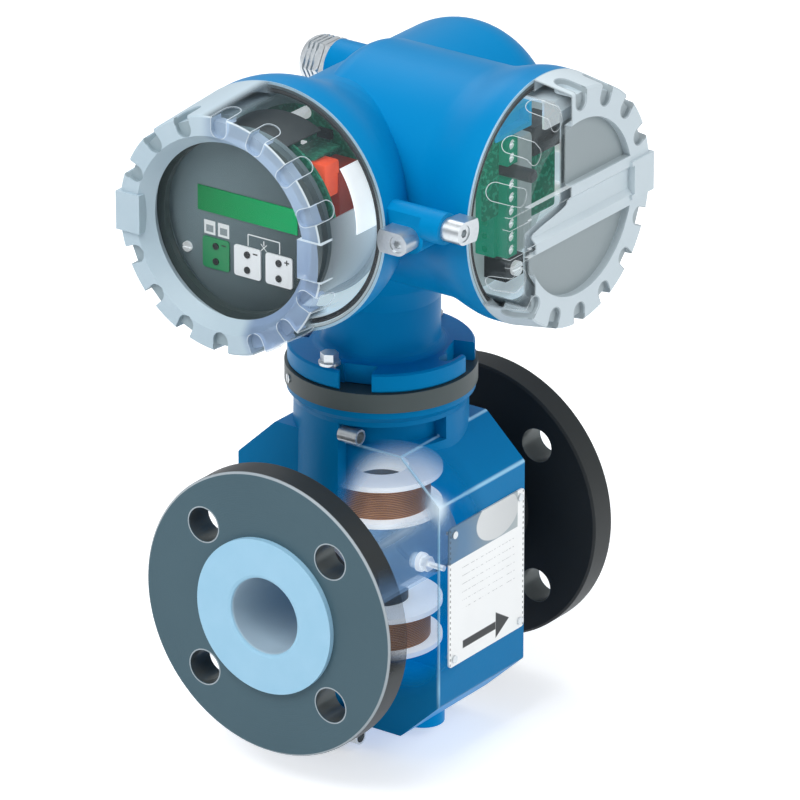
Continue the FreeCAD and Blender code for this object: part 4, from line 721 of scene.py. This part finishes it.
def can_sheet():
    """Brushed sheet with painted light: painted shade towards the panel, broad soft bands round the can that
    are painted reflections, and a faint painted glow.
    """
    f = Finish("brushed can sheet")
    # Darker towards the panel is painted shade; the bands round the can are painted reflections, and the
    # emission is a painted glow.
    sweep = ((f.x + 0.1065) * 28.0).at_least(0.0).at_most(1.0)
    painted_reflection_band = ((f.z - HEAD_Z) * 90.0 + 1.2).math("SINE") * 0.5 + 0.5
    tone = f.mix(sweep, (0.10, 0.12, 0.13), f.mix(painted_reflection_band, (0.28, 0.36, 0.42), (0.50, 0.58, 0.64)))
    grain = f.noise(500.0, 3.0, (1.0, 0.1, 0.1))
    return f.shade(Base_Color=tone, Metallic=0.2, Roughness=grain * 0.12 + 0.26, Emission_Color=tone,
                   Emission_Strength=0.32, Normal=f.bump(grain, 0.00002))


CAN = can_sheet()
SMOKE = moulding("dark grey bracket", (0.030, 0.036, 0.038), (0.060, 0.068, 0.070), 0.34)
CAN_TURN = (-150, 12)       # degrees of the can, from the plate side up
CAN_SHEET = (0.0463, 0.0474)
CAN_REAR = -0.0660
skin("module_can", CAN, [hoop(*CAN_TURN, (-0.1065, CAN_REAR), CAN_SHEET)])
skin("module_can_foot", CAN, [hoop(*CAN_TURN, (-0.0675, CAN_REAR), (0.0474, 0.0510))])
skin("module_bracket", SMOKE,
     [hoop(64, 118, (-0.1060, -0.0780), CAN_SHEET), hoop(12, 64, (-0.0690, CAN_REAR), (0.0455, 0.0474))])
# A white, glowing strip shaped as a ribbon cable: it stands where a painted highlight falls on the can.
skin("ribbon_cable_highlight", WHITE, [hoop(-3, 37, (-0.0880, -0.0700), (0.0486, 0.0492))])
skin("ribbon_plug", RED,
     [block((-0.092, -0.0335, HEAD_Z + 0.013), (-0.080, -0.0230, HEAD_Z + 0.031)),
      block((-0.096, -0.0300, HEAD_Z - 0.018), (-0.084, -0.0245, HEAD_Z + 0.006))])
skin("relay_board", GREEN,
     [block((-0.092, -0.0270, HEAD_Z + 0.0318), (-0.070, -0.0110, HEAD_Z + 0.0332), 0.1)])

# Chips by place and size, and small parts by place, in millimetres.
CHIPS = ((-8, 8, 12, 9), (-8, -8, 12, 9), (-24, -4, 9, 12), (2, -38, 10, 5), (30, -8, 5, 9),
         (-30, -20, 8, 8), (-12, -26, 9, 6), (12, 34, 9, 5), (34, -22, 6, 6))
SMALL_PARTS = ((2, 20), (7, 24), (-1, 26), (4, -16), (-2, -18), (-16, -16), (-20, 10), (-34, 6),
               (-34, 10), (24, -34), (30, -30), (36, 0), (38, 6), (-22, -34), (-6, 38), (0, 40))
skin("main_board_chips", BLACK, [on_board(*chip, 2.2) for chip in CHIPS])
skin("main_board_parts", WHITE, [on_board(*place, 3.0, 1.8, 1.4) for place in SMALL_PARTS])


# ---- Terminal compartment ----
# Green screw terminals, a fuse holder and a plug-in connector on a carrier plate.  A grey
# back plate and two boards stand on edge there, under the sheet clamp of the cables.

# Every finish here glows: painted light that lifts the closed compartment behind the cover.
CARRIER = moulding("pale passivated plate", (0.36, 0.43, 0.44), (0.48, 0.55, 0.56), 0.34, 0.35)
BRIGHT_GREEN = board_green("green circuit board, terminals", 0.45)
STRIP_GREEN = moulding("green terminal moulding", (0.003, 0.13, 0.075), (0.012, 0.21, 0.130), 0.36, 0.7)
CONNECTOR_BLUE = moulding("blue moulding", (0.010, 0.190, 0.340), (0.030, 0.290, 0.460), 0.36, 0.7)
SMOKE_GREY = moulding("smoke grey moulding", (0.030, 0.034, 0.035), (0.070, 0.076, 0.078), 0.30, 0.3)
GREY = moulding("grey moulding", (0.24, 0.30, 0.30), (0.34, 0.40, 0.40), 0.4, 0.5)
dress(CARRIER, "terminal_carrier")
dress(BRIGHT_GREEN, "terminal_board")
dress(STRIP_GREEN, "terminal_strips")
dress(CONNECTOR_BLUE, "signal_connector")
dress(SMOKE_GREY, "fuse_holder", "shield_post")
dress(BLACK, "ground_terminal")
dress(INNER_STEEL, "terminal_screws", "ground_screw", "cable_clamp_posts")

carrier_y = float(corners("terminal_carrier")[0][1])


def on_carrier(across, depth, rise, corner=0.12):
    """Block before the carrier, by its ends along X, out from the carrier and up from the head's axis."""
    return block((across[0], carrier_y - depth[0], HEAD_Z + rise[0]),
                 (across[1], carrier_y - depth[1], HEAD_Z + rise[1]), corner)


skin("terminal_backplate", GREY,
     [on_carrier((0.0034, 0.0145), (0.016, 0.0018), (-0.034, 0.026))])
skin("side_boards", BRIGHT_GREEN,
     [on_carrier((-0.0240, -0.0112), (0.0140, 0.0124), (-0.010, 0.032), 0.1),
      on_carrier((0.0150, 0.0370), (0.0140, 0.0124), (-0.020, 0.0115), 0.1)])
skin("cable_clamp", INNER_STEEL,
     [on_carrier((0.0100, 0.0340), (0.0260, 0.0), (0.0440, 0.0458)),
      on_carrier((0.0100, 0.0340), (0.0260, 0.0245), (0.0300, 0.0458))])


# ---- Display cover ----
# A cast screw cover, painted pale grey.  Its far side is shown see-through, with the
# edges of the grip notches drawn as fine light lines and the cone as tinted glass, painted
# lighter towards the top.  The notch floors and walls carry painted shade.

PITCH = math.radians(22.5)
NOTCH_HALF, NOTCH_RADIAL, NOTCH_AXIAL = 0.0045, 0.010, 0.015
FACE_R, CONE_R, LUG_HALF = 0.0603, 0.0505, 0.010
LINE = 0.00019
COVER_LIP = 0.0015          # from the lugs' front to the face
NOTCH_MIDDLE, NOTCH_BAND = 0.0019, 0.0012


class Grip:
    """Places on a screw cover, from its front face (axial 0) and round its axis.

    The skirt grows from the face radius to the rim radius over the cover's length, and a
    grip notch is a U on the face joined to a U on the skirt, one on each pitch but the lugs.
    """

    def __init__(self, axial, across, rise, reach):
        self.axial, self.across, self.rise = axial, across, rise
        self.radius = length(across, rise)
        self.skirt_r = axial * ((RIM_R - FACE_R) / reach) + FACE_R + 0.0004
        side = rise.math("ARCTAN2", across).wrap(-PITCH / 2, PITCH / 2) * self.radius
        self.face_u = length(side, (FACE_R - self.radius - NOTCH_RADIAL + NOTCH_HALF).at_least(0.0))
        self.skirt_u = length(side, (axial - NOTCH_AXIAL + NOTCH_HALF).at_least(0.0))
        self.clear = abs(rise).above(0.0125, 0.0002)
        self.on_face = axial.below(0.00035, 0.0001)
        self.on_skirt = (self.radius - self.skirt_r).above(-0.0007, 0.0001) * axial.above(0.0003, 0.0001)

    def lines(self):
        """Fine outline of every notch, on the outer surfaces only."""
        middle = NOTCH_HALF + LINE
        face = self.face_u.near(middle, LINE, 0.00008) * self.on_face
        skirt = self.skirt_u.near(middle, LINE, 0.00008) * self.on_skirt
        return face.at_least(skirt) * self.clear

    def painted_notch_shade(self):
        """1 in the floors and walls of the notches, which are darkened there as painted shade."""
        face = self.face_u.below(NOTCH_HALF + 0.0002, 0.0001)
        face = face * self.axial.near(NOTCH_MIDDLE, NOTCH_BAND, 0.0002)
        skirt = self.skirt_u.below(NOTCH_HALF + 0.0002, 0.0001)
        skirt = skirt * (self.skirt_r - self.radius).near(NOTCH_MIDDLE, NOTCH_BAND, 0.0002)
        return face.at_least(skirt) * self.clear * self.radius.above(CONE_R - 0.001, 0.0001)


def cover_paint(f):
    """Pale grey paint, and the cloud that varies it."""
    cloud = f.noise(26.0, 3.0)
    return f.mix(cloud, (0.36, 0.47, 0.54), (0.48, 0.58, 0.64)), cloud


def display_cover_finish():
    f = Finish("pale cover paint, display end")
    tone, cloud = cover_paint(f)
    grip = Grip(f.x - float(cover_low[0]) - COVER_LIP, f.y * -1.0, f.z - HEAD_Z, 0.048)
    gone = (grip.across + grip.rise.at_most(0.0) * 0.45).above(-0.007, 0.005)
    lug = abs(grip.rise).near(LUG_HALF, LINE, 0.0001) * grip.axial.below(0.0095, 0.0003)
    lug = lug * grip.radius.above(CONE_R - 0.004, 0.001)
    corner = (grip.radius - FACE_R).near(0.0, 0.0004, 0.0001) * grip.axial.near(0.0006, 0.0006, 0.0002)
    lines = grip.lines().at_least(lug).at_least(corner)
    front = grip.radius.below(FACE_R - 0.0002, 0.0002) * grip.axial.below(0.0085, 0.0003)
    # Notch floors and walls darkened as painted shade; the see-through front is painted lighter towards the
    # top.
    tone = f.mix(grip.painted_notch_shade() * 0.75, tone, (0.24, 0.31, 0.34))
    tint = f.mix(grip.rise.above(0.010, 0.030), (0.30, 0.42, 0.62), (0.46, 0.60, 0.78))
    tone = f.mix(gone * front, tone, tint)
    tone = f.mix(gone * lines, tone, (0.74, 0.84, 0.90))
    left = (front * 0.52 + 0.030).at_least(lines * 0.70)
    return f.shade(Base_Color=tone, Roughness=cloud * 0.1 + 0.40, Specular_IOR_Level=0.4,
                   Alpha=1.0 - gone * (1.0 - left), Normal=f.bump(f.noise(500.0), 0.00004))


def window_glass():
    f = Finish("window glass")
    return f.shade(Base_Color=(0.10, 0.13, 0.14), Roughness=0.03, Alpha=0.05, IOR=1.5)


dress(display_cover_finish(), "display_cover")
dress(window_glass(), "display_glass")


# ---- Terminal cover ----
# A closed screw cover with a grip bar across it.  The side near the display is shown
# see-through over the terminals.  Its notch floors and walls carry painted shade.

terminal_low = corners("terminal_cover")[0]
BAR_HALF, TROUGH_HALF, DISH_R = 0.013, 0.0075, 0.045


def terminal_cover_finish():
    f = Finish("pale cover paint, terminal end")
    tone, cloud = cover_paint(f)
    grip = Grip(f.y - float(terminal_low[1]) - COVER_LIP, f.x, f.z - HEAD_Z, 0.0225)
    tone = f.mix(0.55, tone, (0.66, 0.72, 0.74))
    bar = abs(grip.rise).below(BAR_HALF, 0.0002)
    dish = grip.radius.below(DISH_R - 0.0001, 0.0002) * (1.0 - bar) * grip.axial.above(0.001, 0.0003)
    tone = f.mix(dish, tone, (0.285, 0.335, 0.350))
    # Notch floors and walls darkened: painted shade.
    tone = f.mix(grip.painted_notch_shade() * 0.75, tone, (0.29, 0.34, 0.36))
    outline = grip.lines()
    tone = f.mix(outline * 0.6, tone, (0.20, 0.25, 0.27))
    edge = grip.rise.below(0.0, 0.004) * 0.030 + 0.008
    gone = (grip.across * -1.0 - edge).above(0.0, 0.0012) * grip.rise.near(0.0140, 0.0540, 0.0020)
    front = grip.axial.below(0.0030, 0.0003)
    ribs = abs(grip.rise).near(TROUGH_HALF, LINE, 0.0001).at_least(abs(grip.rise).near(BAR_HALF, LINE, 0.0001))
    lines = outline.at_least(ribs * front)
    tone = f.mix(gone * lines, tone, (0.80, 0.86, 0.88))
    left = (front * 0.03 + 0.02).at_least(lines * 0.6)
    return f.shade(Base_Color=tone, Roughness=cloud * 0.1 + 0.40, Specular_IOR_Level=0.4,
                   Alpha=1.0 - gone * (1.0 - left), Normal=f.bump(f.noise(500.0), 0.00004))


dress(terminal_cover_finish(), "terminal_cover")


# ---- Cover locks ----
# Small bright claws on socket screws, one beside each cover.

dress(STEEL, "display_lock_claw", "terminal_lock_claw", "display_lock_screw", "terminal_lock_screw")


# ---- Floor and light ----
# A pale sweep under the meter, a large soft lamp high on the left, a weaker one on the
# right, and an even white surround.

FLOOR_DROP = 0.004
FLOOR_SPAN = 6.0
PAPER_GLOW = 0.45
AIM = Vector((0, 0, 0.09))
floor_z = float(CAD_BOX[0][2]) - FLOOR_DROP
floor_mesh = bpy.data.meshes.new("floor")
floor_corners = [(x * FLOOR_SPAN, y * FLOOR_SPAN, floor_z) for x, y in ((-1, -1), (1, -1), (1, 1), (-1, 1))]
floor_mesh.from_pydata(floor_corners, [], [(0, 1, 2, 3)])
floor = bpy.data.objects.new("floor", floor_mesh)
bpy.context.scene.collection.objects.link(floor)
paper = Finish("white studio paper")
path = paper.node("ShaderNodeLightPath").socket.node
seen = Value(paper, path.outputs["Is Camera Ray"]) + Value(paper, path.outputs["Is Glossy Ray"])
seen = (seen + Value(paper, path.outputs["Is Transmission Ray"])).at_most(1.0)
floor_mesh.materials.append(paper.shade(Base_Color=(0.86, 0.87, 0.88), Roughness=0.9,
                                        Emission_Color=(1.0, 1.0, 1.0), Emission_Strength=seen * PAPER_GLOW))


def lamp(name, azimuth, elevation, distance, size, power):
    """Square area lamp, aimed at the middle of the meter."""
    a, e = math.radians(azimuth), math.radians(elevation)
    away = Vector((math.sin(a) * math.cos(e), -math.cos(a) * math.cos(e), math.sin(e)))
    light = bpy.data.lights.new(name, "AREA")
    light.size = size
    light.energy = power
    made = bpy.data.objects.new(name, light)
    bpy.context.scene.collection.objects.link(made)
    turn = away.to_track_quat("Z", "Y").to_matrix().to_4x4()
    made.matrix_world = Matrix.Translation(AIM + away * distance) @ turn


lamp("key lamp", -95, 52, 1.6, 1.0, 18)
lamp("side lamp", 10, 30, 1.8, 1.2, 12)
lamp("rim lamp", 150, 45, 1.8, 1.0, 7)

world = bpy.data.worlds.new("surround")
bpy.context.scene.world = world
world.use_nodes = True
surround = world.node_tree.nodes["Background"]
surround.inputs["Color"].default_value = (0.93, 0.96, 1.0, 1.0)
surround.inputs["Strength"].default_value = 0.48
